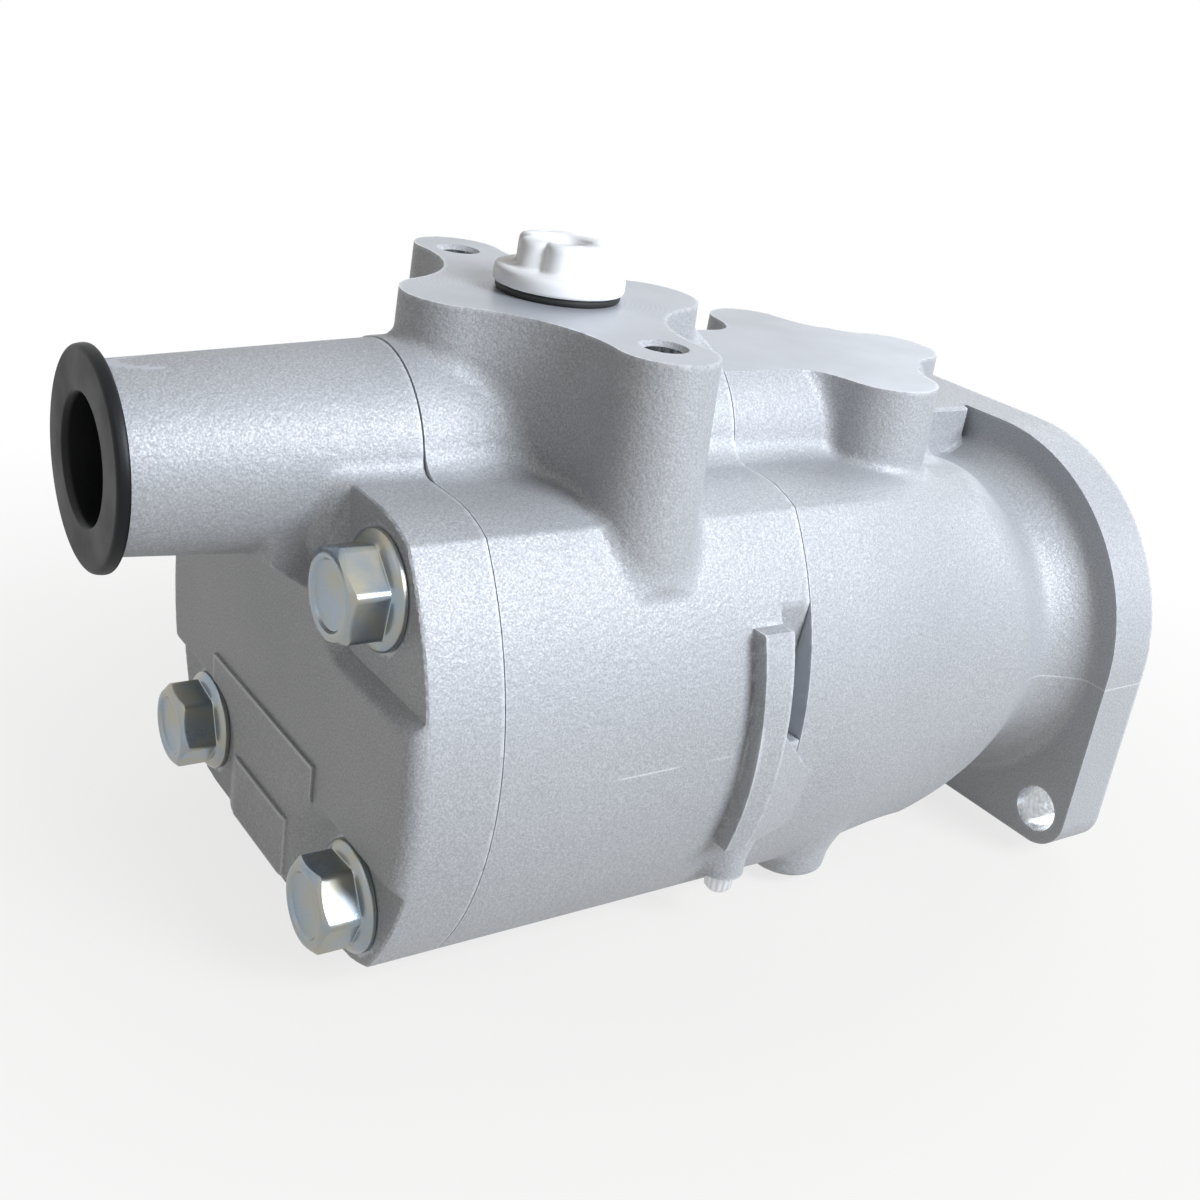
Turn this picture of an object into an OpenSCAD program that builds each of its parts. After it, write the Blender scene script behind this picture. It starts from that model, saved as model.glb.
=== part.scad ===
// Tandem hydraulic gear pump: two gear stages on one shaft line in a cast aluminium housing.
// X runs along the drive shaft towards the driven end and Z points up towards the port pads.
// The origin is where the drive shaft axis meets the mounting face of the flange.

/* [Gears] */
// Distance between the drive shaft and the driven shaft
centre_distance = 32; // [30:0.5:34]
// Teeth on each gear
gear_teeth = 10; // [9:1:13]
// Pressure angle of the teeth in degrees
pressure_angle = 25; // [24:0.5:27]
// Face width of the rear pair of gears
rear_gear_width = 20; // [12:1:22]
// Face width of the front pair of gears
front_gear_width = 16; // [10:1:18]
// Play between meshing teeth along the pitch circle
gear_backlash = 0.2; // [0.1:0.05:0.4]
// Radius of the journals and of the shaft under its seal
journal_r = 10; // [9.6:0.1:10.5]

/* [Housing section] */
// Half of the width of the housing section
body_half_w = 56.9; // [55:0.1:60]
// Half of the height of the housing section
body_half_h = 44.1; // [42:0.1:48]
// Radius of the four corners of the section
body_corner_r = 25.8; // [20:0.2:30]
// Radius of the gently bowed sides
body_side_r = 67.7; // [62:0.1:90]
// Thickness of the rear cover
cover_t = 17.3; // [15:0.1:20]
// Length of the rear body between its two seams
rear_body_len = 67.9; // [64:0.1:72]
// Length of the front body from its seam to the mounting face
front_body_len = 99; // [94:0.5:104]
// Thickness of the mounting flange
flange_t = 12.7; // [11:0.1:15]
// Radius of the neck between the front body and its flange
neck_r = 34; // [32:0.5:38]

/* [Suction branch] */
// Height of the suction branch above the shaft axis
suction_z = 43.3; // [41:0.1:45]
// Bore radius of the suction branch
suction_bore_r = 12.5; // [11:0.25:13]
// Outer radius of the branch at its mouth
branch_mouth_r = 16.5; // [15.5:0.25:17.5]
// Outer radius of the branch where it reaches the rear body
branch_root_r = 19.6; // [19:0.2:21]
// How far the branch stands out from the cover face
branch_len = 34; // [28:0.5:42]
// Radius of the hump over the suction channel on the front body
hump_r = 22.5; // [21:0.5:25]

/* [Port pads] */
// Height of the rear port pad above the shaft axis
rear_pad_z = 71.7; // [69:0.1:75]
// Distance between the two bolt holes of the rear port pad
port_bolt_spacing = 74.4; // [70:0.2:80]
// Core radius of the tapped port bolt holes
port_bolt_r = 3.4; // [3:0.1:4.5]
// Depth of the tapped port bolt holes
port_bolt_depth = 20; // [14:1:26]
// Bore radius of the port in the rear pad
port_r = 10; // [8:0.5:11]
// Height of the front pad above the shaft axis
front_pad_z = 59.9; // [58:0.1:64]

/* [Mounting end] */
// Radius of the round part of the flange
flange_r = 46.2; // [45:0.1:50]
// Diameter of the circle through the two mounting holes
mount_pcd = 106.4; // [104:0.2:110]
// Radius of the mounting holes
mount_hole_r = 5.5; // [5:0.1:6.5]
// Radius of the flange ears round the mounting holes
ear_r = 8.5; // [8:0.1:11]
// Radius of the locating pilot
pilot_r = 41.275; // [38:0.025:44]
// Height of the locating pilot
pilot_h = 6.3; // [5:0.1:8]
// Radius of the input shaft
shaft_r = 9.525; // [8:0.125:9.525]
// Length of the input shaft beyond the mounting face
shaft_out = 38; // [34:0.5:46]
// Width and height of the square key
key_w = 4.76; // [4:0.01:5.5]
// Length of the square key
key_len = 19; // [14:0.5:22]

/* [Fasteners] */
// Radius of the shank of the cover bolts
bolt_r = 5; // [4:0.25:5.5]
// Width across flats of the bolt heads
bolt_flats = 16; // [14:0.5:17]
// Radius of the round flange under each bolt head
bolt_flange_r = 10.6; // [9.5:0.1:12]
// Height of the bolt heads with their flange
bolt_head_h = 9.6; // [8:0.2:12]
// Thread engagement of the cover bolts in the front body
bolt_grip = 20; // [14:1:24]
// Distance of the bolts from the sides of the section
bolt_in_y = 21.7; // [20:0.1:23]
// Distance of the bolts from the middle of the section, up and down
bolt_z = 30.4; // [29:0.2:32]
// Depth of the spot faces under the bolt heads
spot_depth = 2.6; // [2:0.1:5]

/* [Plugs and ports] */
// Radius of the rim of the suction plug
plug_rim_r = 19.4; // [18:0.1:20]
// Thickness of the rim of the suction plug
plug_rim_t = 2.4; // [1.5:0.1:4]
// Radius of the open middle of the suction plug
plug_hole_r = 10.9; // [9:0.1:11]
// How far the suction plug reaches into the branch
plug_depth = 18; // [12:1:24]
// Radius of the head of the port plug
port_plug_r = 12.7; // [11.5:0.1:14]
// Thickness of the head of the port plug
port_plug_t = 3.4; // [2.5:0.1:5]
// Cord radius of the ring under the port plug
port_ring_cord_r = 0.9; // [0.6:0.1:1.2]
// Core radius of the tapped delivery ports
delivery_r = 9.3; // [8:0.1:11]
// Depth of the tapped delivery ports
delivery_depth = 15; // [12:0.5:17]

/* [Hidden] */
$fn = 64;

// Places along the shaft, from the mounting face back to the mouth of the suction branch
seam2_x = -front_body_len;
seam1_x = seam2_x - rear_body_len;
cover_x = seam1_x - cover_t;
mouth_x = cover_x - branch_len;
mid_y = centre_distance / 2;

// Tooth form
tooth_module = centre_distance / gear_teeth;
pitch_r = centre_distance / 2;
base_r = pitch_r * cos(pressure_angle);
tip_r = pitch_r + tooth_module;
root_r = pitch_r - 1.25 * tooth_module;
flank_steps = 6;
pitch_angle = 360 / gear_teeth;

// Clearances
running_gap = 0.05;
bore_gap = 0.5;
axial_gap = 0.1;
fit_gap = 0.02;
chamber_r = tip_r + running_gap;
bush_wall = 1.5;
bush_in_r = journal_r + running_gap;
bush_out_r = bush_in_r + bush_wall;
block_r = chamber_r - running_gap;

// Chambers: each holds a bearing block, a pair of gears and a second bearing block
rear_block_len = 17;
front_block_len = 16;
rear_chamber_len = rear_gear_width + 2 * rear_block_len;
front_chamber_len = front_gear_width + 2 * front_block_len;
rear_floor_x = seam1_x + rear_chamber_len;
front_floor_x = seam2_x + front_chamber_len;
rear_mid_x = seam1_x + rear_chamber_len / 2;
front_mid_x = seam2_x + front_chamber_len / 2;

// Coupling between the two drive shafts, in the wall between the stages
coupling_r = journal_r + 0.7;
coupling_gap = 0.3;
spline_out_r = journal_r - 2.4;
spline_in_r = spline_out_r - 1.1;
spline_teeth = 12;
spline_len = (seam2_x - rear_floor_x) / 2 - 0.4;

// Shaft seal at the mounting end
seal_bore_r = 17.5;
seal_len = 8;
seal_back_x = -10;
ring_t = 1.5;
ring_groove_extra = 1;
seal_front_x = seal_back_x + 0.5 + seal_len;
ring_x = seal_front_x + 0.3;
key_end_gap = 8;
key_x = shaft_out - key_len - key_end_gap;
key_turn = 37;
shaft_chamfer = 1.5;

// Port pads
rear_pad_x = seam2_x - 31.8;
front_pad_x = seam2_x + 38.1;
port_hole_shift = -1.3;
rear_lobe_r = 11.9;
rear_wing_r = 12.5;
rear_wings = [32.8, 31.2];
rear_flank_r = 31.5;
rear_flank_at = [40.9, 37];
front_lobe_y = 21.9;
front_lobe_r = 11.7;
front_wing_r = 10.9;
front_wings = [31, 33.1];
front_flank_r = 24.9;
front_flank_at = [33.7, 34.4];
pad_root_z = 36;
column_z = 22;

// Two shallow steps on the bare cover face: their height, and the near edge and top edge of each
step_h = 0.7;
step1_y = -5.5;
step1_z = -10.7;
step2_y = 3.2;
step2_z = -26.7;

// Seals
cord_w = 2.4;
cord_h = 2;
groove_gap = 0.1;
side_seal_r = tip_r - 4;
seam_seal_r = tip_r + 3.6;
suction_ring_r = suction_bore_r + 2;
dowel_r = 4;
dowel_len = 16;
dowel_wall = 1.3;
dowel_y = mid_y + seam_seal_r + cord_w / 2 + dowel_r + dowel_wall;

// Port plug: the ring under its head, its ribbed grip and the hollow stopper in the port
ring_squeeze = 0.15;
ring_inset = 1.6;
grip_r = 7.2;
grip_h = 5.5;
grip_draft = 0.4;
grip_rib_r = 1.5;
grip_floor = 1.5;
grip_wall = 2.2;
stopper_len = 12;
stopper_wall = 2;

// Near side of the rear body: the rib with its gusset, and the relief between it and the seam
near_side_y = mid_y - body_half_w;
hump_step = 1.2;
rib_x = seam2_x - 14.3;
rib_w = 7;
rib_h = 3.6;
rib_top_z = 22.5;
rib_low_z = -25;
relief_top_z = 25.6;
relief_low_z = -1.7;
relief_depth = 5.7;
gusset_x = rib_x + rib_w - 0.5;
gusset_end_x = seam2_x + 5.7;
gusset_top_z = 2.6;
gusset_end_z = -10.6;
gusset_lean = atan(rib_h / (gusset_end_x - gusset_x));
gusset_reach = 30;

// Plug of the drilled oil gallery under the near side
gallery_x = seam2_x - 3.7;
gallery_y = near_side_y + 9.7;
gallery_r = 3.3;
gallery_low_z = body_corner_r - body_half_h - 23.5;
gallery_hole_z = gallery_low_z + 14;

// Front end of the front body: where its section ends and where the neck begins
nose_x = front_floor_x - 16;
nose_step = 17;
nose_inset = 3;
neck_x = -flange_t - 14;
neck_flare = 5;
web_y = 9;
web_w = 26;
web_z = 46.5;
web_x = front_pad_x + 20;
web_low_z = 20;
boss_x = seam2_x + 24.5;
boss_y = mid_y - 36;
boss_r = 8;
boss_h = 3;

bolt_y = body_half_w - bolt_in_y;
bolt_clear_r = bolt_r + 0.25;
bolt_end_x = seam2_x + bolt_grip;
seat_x = cover_x + spot_depth;
pocket_r = bolt_flange_r + 1.8;
pocket_slope = 4;
pocket_reach = 60;
cover_edge = 3.5;
branch_fillet = 6;

cast_colour = [0.74, 0.75, 0.76];
steel_colour = [0.66, 0.67, 0.68];
zinc_colour = [0.80, 0.80, 0.76];
bronze_colour = [0.72, 0.58, 0.36];
rubber_colour = [0.06, 0.06, 0.07];

// Moves flat shapes into planes across the shaft: their x runs along Y and their y along Z
module across(x0, x1) {
    translate([x0, 0, 0]) rotate([90, 0, 90]) linear_extrude(x1 - x0) children();
}

// A round bar along X about the line at y, z
module rod(x0, x1, r, y = 0, z = 0) {
    translate([x0, y, z]) rotate([0, 90, 0]) cylinder(h = x1 - x0, r = r);
}

// A tapered round bar along X about the line at y, z
module cone(x0, x1, r0, r1, y = 0, z = 0) {
    translate([x0, y, z]) rotate([0, 90, 0]) cylinder(h = x1 - x0, r1 = r0, r2 = r1);
}

// A body turned about X at y, z from a flat outline of radius and distance along X
module turned(y = 0, z = 0) {
    translate([0, y, z]) rotate([0, 90, 0]) rotate_extrude($fn = 96) children();
}

// The filled outline round two circles, the first at the origin and the second at distance d
module tapered_bar(d, r0, r1) {
    lean = acos((r0 - r1) / d);
    in0 = r0 - 0.03;
    in1 = r1 - 0.03;
    circle(r = r0);
    translate([d, 0]) circle(r = r1);
    polygon([
        [in0 * cos(lean), in0 * sin(lean)],
        [d + in1 * cos(lean), in1 * sin(lean)],
        [d + in1 * cos(lean), -in1 * sin(lean)],
        [in0 * cos(lean), -in0 * sin(lean)]
    ]);
}

// Housing section: flat top and bottom, round corners and bowed sides, less a margin
module section(inset = 0) {
    w = body_half_w - inset;
    h = body_half_h - inset;
    r = body_corner_r - inset;
    side = body_side_r - inset;
    translate([mid_y, 0]) intersection() {
        union() {
            square([2 * w, 2 * (h - r)], center = true);
            square([2 * (w - r), 2 * h], center = true);
            for (sy = [-1, 1], sz = [-1, 1]) {
                translate([sy * (w - r), sz * (h - r)]) circle(r = r);
            }
        }
        translate([w - side, 0]) circle(r = side, $fn = 128);
        translate([side - w, 0]) circle(r = side, $fn = 128);
    }
}

// Two equal circles on the two shaft axes
module figure_eight(r) {
    circle(r = r, $fn = 96);
    translate([centre_distance, 0]) circle(r = r, $fn = 96);
}

// The band between two figures of eight
module eight_band(r, w) {
    difference() {
        figure_eight(r + w / 2);
        figure_eight(r - w / 2);
    }
}

// A row of four corners round the middle of the section
module at_bolts(y_sides, z_sides) {
    for (sy = y_sides, sz = z_sides) {
        translate([0, mid_y + sy * bolt_y, sz * bolt_z]) children();
    }
}

// Four-lobed pad outline: lobes on the bolt line, wings along the shaft, hollow flanks between
module pad_outline(lobe_y, lobe_r, wings, wing_r, flank_r, flank_at) {
    difference() {
        translate([wing_r - wings[0], -lobe_y]) {
            square([wings[0] + wings[1] - 2 * wing_r, 2 * lobe_y]);
        }
        for (sx = [-1, 1], sy = [-1, 1]) {
            translate([sx * flank_at[0], sy * flank_at[1]]) circle(r = flank_r, $fn = 96);
        }
    }
    for (sy = [-1, 1]) translate([0, sy * lobe_y]) circle(r = lobe_r);
    translate([wing_r - wings[0], 0]) circle(r = wing_r);
    translate([wings[1] - wing_r, 0]) circle(r = wing_r);
}

// The rear pad stands on the hump, with a column under each lobe that runs out on the side
module rear_pad() {
    lobe_y = port_bolt_spacing / 2;
    translate([rear_pad_x, mid_y, 0]) {
        translate([0, 0, pad_root_z]) linear_extrude(rear_pad_z - pad_root_z) {
            pad_outline(lobe_y, rear_lobe_r, rear_wings, rear_wing_r, rear_flank_r, rear_flank_at);
        }
        for (sy = [-1, 1]) translate([0, sy * lobe_y, column_z]) {
            cylinder(h = rear_pad_z - column_z, r1 = rear_lobe_r + 1, r2 = rear_lobe_r);
        }
    }
}

module front_pad() {
    translate([front_pad_x, mid_y, pad_root_z]) linear_extrude(front_pad_z - pad_root_z) {
        pad_outline(front_lobe_y, front_lobe_r, front_wings, front_wing_r, front_flank_r, front_flank_at);
    }
}

// Holes through the cover and bodies for the bolts, and the dowel holes at a seam
module bolt_holes(x0, x1, r) {
    at_bolts([-1, 1], [-1, 1]) rod(x0, x1, r);
}

module dowel_holes(seam_x) {
    for (sy = [-1, 1]) {
        rod(seam_x - dowel_len / 2, seam_x + dowel_len / 2, dowel_r + fit_gap, mid_y + sy * dowel_y);
    }
}

// A seal groove on the front side of a seam, for the chamber seal and the suction ring
module seam_grooves(seam_x) {
    across(seam_x - 1, seam_x + cord_h) eight_band(seam_seal_r, cord_w + 2 * groove_gap);
    difference() {
        rod(seam_x - 1, seam_x + cord_h, suction_ring_r + cord_w / 2 + groove_gap, mid_y, suction_z);
        rod(seam_x - 2, seam_x + cord_h + 1, suction_ring_r - cord_w / 2 - groove_gap, mid_y, suction_z);
    }
}

// A chamber with its suction drop from the channel and its delivery port underneath
module chamber(x0, x1, mid_x) {
    across(x0, x1) figure_eight(chamber_r);
    translate([mid_x, mid_y, 0]) cylinder(h = suction_z, r = 7.5);
    translate([mid_x, mid_y, -body_half_h + 1]) cylinder(h = body_half_h, r = 6.5);
    translate([mid_x, mid_y, -body_half_h - 1]) cylinder(h = delivery_depth + 1, r = delivery_r);
}

// Pocket round a bolt at the origin: round towards the middle, open towards +Y and +Z
module corner_pocket() {
    above = 1;
    far = pocket_r + pocket_slope * (1 + above / spot_depth);
    wall = [[seat_x, -pocket_r], [cover_x - above, -far], [cover_x - above, pocket_reach], [seat_x, pocket_reach]];
    cone(cover_x - above, seat_x, far, pocket_r);
    linear_extrude(pocket_reach) polygon(wall);
    translate([0, pocket_reach, 0]) rotate([90, 0, 0]) linear_extrude(pocket_reach) polygon(wall);
}

module rear_cover() {
    edge = cover_edge;
    fillet = branch_fillet;
    root_at_face = branch_mouth_r + (branch_root_r - branch_mouth_r) * branch_len / (branch_len + cover_t);
    color(cast_colour) difference() {
        union() {
            difference() {
                hull() {
                    across(cover_x + edge, seam1_x) section($fn = 32);
                    across(cover_x, cover_x + edge) section(edge, $fn = 32);
                }
                for (sy = [0, 1], sz = [0, 1]) {
                    translate([0, mid_y + (1 - 2 * sy) * bolt_y, (1 - 2 * sz) * bolt_z]) {
                        mirror([0, sy, 0]) mirror([0, 0, sz]) corner_pocket();
                    }
                }
            }
            cone(mouth_x, seam1_x, branch_mouth_r, branch_root_r, mid_y, suction_z);
            intersection() {
                difference() {
                    cone(cover_x - fillet, cover_x + 1, root_at_face, root_at_face + fillet, mid_y, suction_z);
                    translate([cover_x - fillet, mid_y, suction_z]) rotate([0, 90, 0]) {
                        rotate_extrude($fn = 96) translate([root_at_face + fillet, 0]) circle(r = fillet - 0.5);
                    }
                }
                across(cover_x - fillet, cover_x + 1) section(edge);
            }
            // Two shallow steps on the bare face
            intersection() {
                union() {
                    translate([cover_x - step_h, step1_y, -body_half_h]) {
                        cube([2 + step_h, body_half_w + 20, body_half_h + step1_z]);
                    }
                    translate([cover_x - 2 * step_h, step2_y, -body_half_h]) {
                        cube([2 + step_h, body_half_w + 20, body_half_h + step2_z]);
                    }
                }
                across(cover_x - 2, cover_x + 2) section(edge + 0.5);
            }
        }
        rod(mouth_x - 1, seam1_x + 1, suction_bore_r, mid_y, suction_z);
        bolt_holes(cover_x - 3, seam1_x + 1, bolt_clear_r);
        at_bolts([-1, 1], [-1, 1]) rod(cover_x - 12, seat_x, bolt_flange_r + 0.6);
        dowel_holes(seam1_x);
    }
}

// Gusset that runs from the rib over the seam and dies out on the front body, between x0 and x1
module gusset(x0, x1) {
    near_y = near_side_y - rib_h;
    intersection() {
        translate([gusset_x, near_y, 0]) rotate([0, 0, gusset_lean]) translate([0, -near_y, 0]) {
            across(-gusset_reach, gusset_reach) section(-rib_h);
        }
        translate([0, near_side_y + gusset_reach / 2, 0]) rotate([90, 0, 0]) linear_extrude(gusset_reach) {
            polygon([
                [gusset_x - 2, gusset_top_z], [gusset_x, gusset_top_z], [gusset_end_x, gusset_end_z],
                [gusset_end_x, rib_low_z], [gusset_x - 2, rib_low_z]
            ]);
        }
        across(x0, x1) square([4 * body_half_w, 2 * body_half_h], center = true);
    }
}

// Rib that follows the near side of the rear body, with a gusset by the seam
module side_rib() {
    intersection() {
        across(rib_x, rib_x + rib_w) section(-rib_h);
        translate([rib_x, near_side_y - rib_h - 1, rib_low_z]) cube([rib_w, 30, rib_top_z - rib_low_z]);
    }
    gusset(rib_x + 1, seam2_x);
}

module rear_body() {
    color(cast_colour) difference() {
        union() {
            difference() {
                across(seam1_x, seam2_x) section();
                // Relief between the rib and the seam
                translate([rib_x + rib_w, near_side_y - 3, relief_low_z]) {
                    cube([seam2_x - rib_x - rib_w + 1, relief_depth + 3, relief_top_z - relief_low_z]);
                }
            }
            cone(seam1_x, seam2_x, branch_root_r + hump_step, hump_r, mid_y, suction_z);
            rear_pad();
            side_rib();
        }
        chamber(seam1_x - 1, rear_floor_x, rear_mid_x);
        rod(rear_floor_x - 1, seam2_x + 1, coupling_r + coupling_gap);
        rod(seam1_x - 1, seam2_x + 1, suction_bore_r, mid_y, suction_z);
        bolt_holes(seam1_x - 1, seam2_x + 1, bolt_clear_r);
        dowel_holes(seam1_x);
        dowel_holes(seam2_x);
        seam_grooves(seam1_x);
        translate([rear_pad_x, mid_y, suction_z]) cylinder(h = rear_pad_z, r = port_r);
        for (sy = [-1, 1]) {
            translate([rear_pad_x + port_hole_shift, mid_y + sy * port_bolt_spacing / 2, rear_pad_z]) {
                translate([0, 0, -port_bolt_depth]) cylinder(h = port_bolt_depth + 1, r = port_bolt_r);
            }
        }
        translate([gallery_x, gallery_y, -body_half_h - 1]) cylinder(h = gallery_hole_z + body_half_h + 1, r = gallery_r + fit_gap);
    }
}

module flange() {
    across(-flange_t, 0) {
        rotate(45) tapered_bar(mount_pcd / 2, flange_r, ear_r);
        rotate(225) tapered_bar(mount_pcd / 2, flange_r, ear_r);
    }
}

module front_body() {
    color(cast_colour) difference() {
        union() {
            across(seam2_x, nose_x) section();
            hull() {
                across(nose_x - 1, nose_x) section($fn = 32);
                across(nose_x + nose_step, nose_x + nose_step + 1) section(nose_inset, $fn = 32);
                rod(neck_x, neck_x + 1, neck_r + 1.5, $fn = 48);
            }
            intersection() {
                rod(seam2_x, front_pad_x + 22, hump_r, mid_y, suction_z);
                translate([seam2_x, mid_y - 60, 0]) cube([front_body_len, 120, front_pad_z]);
            }
            front_pad();
            rod(neck_x, -flange_t + 1, neck_r);
            turned() {
                difference() {
                    translate([neck_r / 2, -flange_t - neck_flare]) {
                        square([neck_r / 2 + neck_flare, neck_flare + 1]);
                    }
                    translate([neck_r + neck_flare, -flange_t - neck_flare]) circle(r = neck_flare, $fn = 48);
                }
            }
            flange();
            gusset(seam2_x, gusset_end_x);
            rod(-1, pilot_h, pilot_r, $fn = 128);
            // Web between the front pad and the flange, and the boss underneath
            translate([web_x, web_y, web_low_z]) cube([-flange_t - web_x + 1, web_w, web_z - web_low_z]);
            translate([boss_x, boss_y, -body_half_h - boss_h]) cylinder(h = 20, r1 = boss_r, r2 = boss_r + 2);
        }
        chamber(seam2_x - 1, front_floor_x, front_mid_x);
        rod(front_floor_x - 1, pilot_h + 1, journal_r + bore_gap);
        rod(seal_back_x, pilot_h + 1, seal_bore_r, $fn = 96);
        rod(ring_x, ring_x + ring_t + 0.1, seal_bore_r + ring_groove_extra, $fn = 96);
        rod(seam2_x - 1, front_mid_x + 10, suction_bore_r, mid_y, suction_z);
        bolt_holes(seam2_x - 1, bolt_end_x + 3, bolt_r + running_gap);
        dowel_holes(seam2_x);
        seam_grooves(seam2_x);
        for (turn = [45, 225]) rotate([turn, 0, 0]) {
            rod(-flange_t - 1, 1, mount_hole_r, mount_pcd / 2);
        }
    }
}

// Hollow push-in plug with a broad rim, open to the outside and closed at its inner end
module suction_plug() {
    floor_t = 2;
    color([0.08, 0.08, 0.09]) difference() {
        union() {
            cone(mouth_x - plug_rim_t, mouth_x, plug_rim_r - 0.8, plug_rim_r, mid_y, suction_z);
            cone(mouth_x - 0.01, mouth_x + plug_depth, suction_bore_r - fit_gap, suction_bore_r - 0.4, mid_y, suction_z);
        }
        rod(mouth_x - plug_rim_t - 1, mouth_x + plug_depth - floor_t, plug_hole_r, mid_y, suction_z);
    }
}

// Push-in plug with a flat round head and a ribbed grip
module port_plug() {
    head_z = rear_pad_z + 2 * port_ring_cord_r - 2 * ring_squeeze;
    grip_ribs = 8;
    color([0.95, 0.96, 0.95]) translate([rear_pad_x, mid_y, 0]) difference() {
        union() {
            translate([0, 0, head_z]) cylinder(h = port_plug_t, r = port_plug_r);
            translate([0, 0, head_z + port_plug_t]) cylinder(h = grip_h, r1 = grip_r, r2 = grip_r - grip_draft);
            for (i = [0 : grip_ribs - 1]) rotate(i * 360 / grip_ribs) {
                translate([grip_r - grip_draft, 0, head_z + port_plug_t]) cylinder(h = grip_h, r = grip_rib_r);
            }
            translate([0, 0, rear_pad_z - stopper_len]) {
                cylinder(h = head_z - rear_pad_z + stopper_len + 0.01, r = port_r - running_gap);
            }
        }
        translate([0, 0, head_z + port_plug_t + grip_floor]) cylinder(h = grip_h, r = grip_r - grip_wall);
        translate([0, 0, rear_pad_z - stopper_len - 1]) cylinder(h = stopper_len, r = port_r - stopper_wall);
    }
}

module port_plug_o_ring() {
    color(rubber_colour) translate([rear_pad_x, mid_y, rear_pad_z + port_ring_cord_r - ring_squeeze]) {
        rotate_extrude($fn = 96) translate([port_plug_r - ring_inset, 0]) intersection() {
            circle(r = port_ring_cord_r, $fn = 24);
            square([4 * port_ring_cord_r, 2 * (port_ring_cord_r - ring_squeeze)], center = true);
        }
    }
}

// Hexagon head with a round flange, a chamfered crown and a dished top
module flange_bolt() {
    crown = bolt_flats / sqrt(3);
    flange_h = 2.2;
    translate([seat_x, 0, 0]) rotate([0, -90, 0]) difference() {
        union() {
            cylinder(h = 1, r = bolt_flange_r);
            translate([0, 0, 1]) cylinder(h = flange_h - 1, r1 = bolt_flange_r, r2 = crown);
            intersection() {
                cylinder(h = bolt_head_h, r = crown, $fn = 6);
                cylinder(h = bolt_head_h, r1 = crown + bolt_head_h - 1.5, r2 = crown - 1.5);
            }
        }
        translate([0, 0, bolt_head_h - 0.6]) cylinder(h = 1, r1 = bolt_flats / 2 - 2.2, r2 = bolt_flats / 2 - 1.6);
    }
    rod(seat_x - 0.5, bolt_end_x - 1, bolt_r);
    cone(bolt_end_x - 1, bolt_end_x, bolt_r, bolt_r - 1);
}

module cover_bolts() {
    color(zinc_colour) at_bolts([-1, 1], [-1, 1]) flange_bolt();
}

module dowels(seam_x) {
    color(steel_colour) for (sy = [-1, 1]) {
        rod(seam_x - dowel_len / 2 + 0.2, seam_x + dowel_len / 2 - 0.2, dowel_r, mid_y + sy * dowel_y);
    }
}

module cover_dowels() {
    dowels(seam1_x);
}

module body_dowels() {
    dowels(seam2_x);
}

module seam_seal(seam_x) {
    color(rubber_colour) across(seam_x, seam_x + cord_h) eight_band(seam_seal_r, cord_w);
}

module cover_seal() {
    seam_seal(seam1_x);
}

module body_seal() {
    seam_seal(seam2_x);
}

module suction_o_rings() {
    color(rubber_colour) for (seam_x = [seam1_x, seam2_x]) difference() {
        rod(seam_x, seam_x + cord_h, suction_ring_r + cord_w / 2, mid_y, suction_z);
        rod(seam_x - 1, seam_x + cord_h + 1, suction_ring_r - cord_w / 2, mid_y, suction_z);
    }
}

// Bearing block: x0 is its back, side points to the gears, and the back holds a seal groove
module bearing_block(x0, len, side) {
    back = side > 0 ? x0 : x0 + len;
    face = side > 0 ? x0 + len : x0;
    color([0.70, 0.70, 0.68]) difference() {
        across(x0, x0 + len) figure_eight(block_r);
        for (y = [0, centre_distance]) rod(x0 - 1, x0 + len + 1, bush_out_r + fit_gap, y);
        across(min(back, back + side * cord_h), max(back, back + side * cord_h)) {
            eight_band(side_seal_r, cord_w + 2 * groove_gap);
        }
        // Relief pockets for the oil trapped between the teeth
        for (sz = [-1, 1]) translate([face - 1.5, mid_y - 3, sz > 0 ? 1.5 : -6.5]) cube([3, 6, 5]);
    }
}

module rear_outer_bearing_block() {
    bearing_block(seam1_x + axial_gap, rear_block_len - 2 * axial_gap, 1);
}

module rear_inner_bearing_block() {
    bearing_block(rear_floor_x - rear_block_len + axial_gap, rear_block_len - 2 * axial_gap, -1);
}

module front_inner_bearing_block() {
    bearing_block(seam2_x + axial_gap, front_block_len - 2 * axial_gap, 1);
}

module front_outer_bearing_block() {
    bearing_block(front_floor_x - front_block_len + axial_gap, front_block_len - 2 * axial_gap, -1);
}

module bushes(starts, len) {
    color(bronze_colour) for (x = starts, y = [0, centre_distance]) difference() {
        rod(x, x + len, bush_out_r, y);
        rod(x - 1, x + len + 1, bush_in_r, y);
    }
}

module rear_bushes() {
    bushes([seam1_x + axial_gap, rear_floor_x - rear_block_len + axial_gap], rear_block_len - 2 * axial_gap);
}

module front_bushes() {
    bushes([seam2_x + axial_gap, front_floor_x - front_block_len + axial_gap], front_block_len - 2 * axial_gap);
}

module side_seals(x_back, x_front) {
    color(rubber_colour) {
        across(x_back, x_back + cord_h) eight_band(side_seal_r, cord_w);
        across(x_front - cord_h, x_front) eight_band(side_seal_r, cord_w);
    }
}

module rear_side_seals() {
    side_seals(seam1_x, rear_floor_x);
}

module front_side_seals() {
    side_seals(seam2_x, front_floor_x);
}

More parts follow.
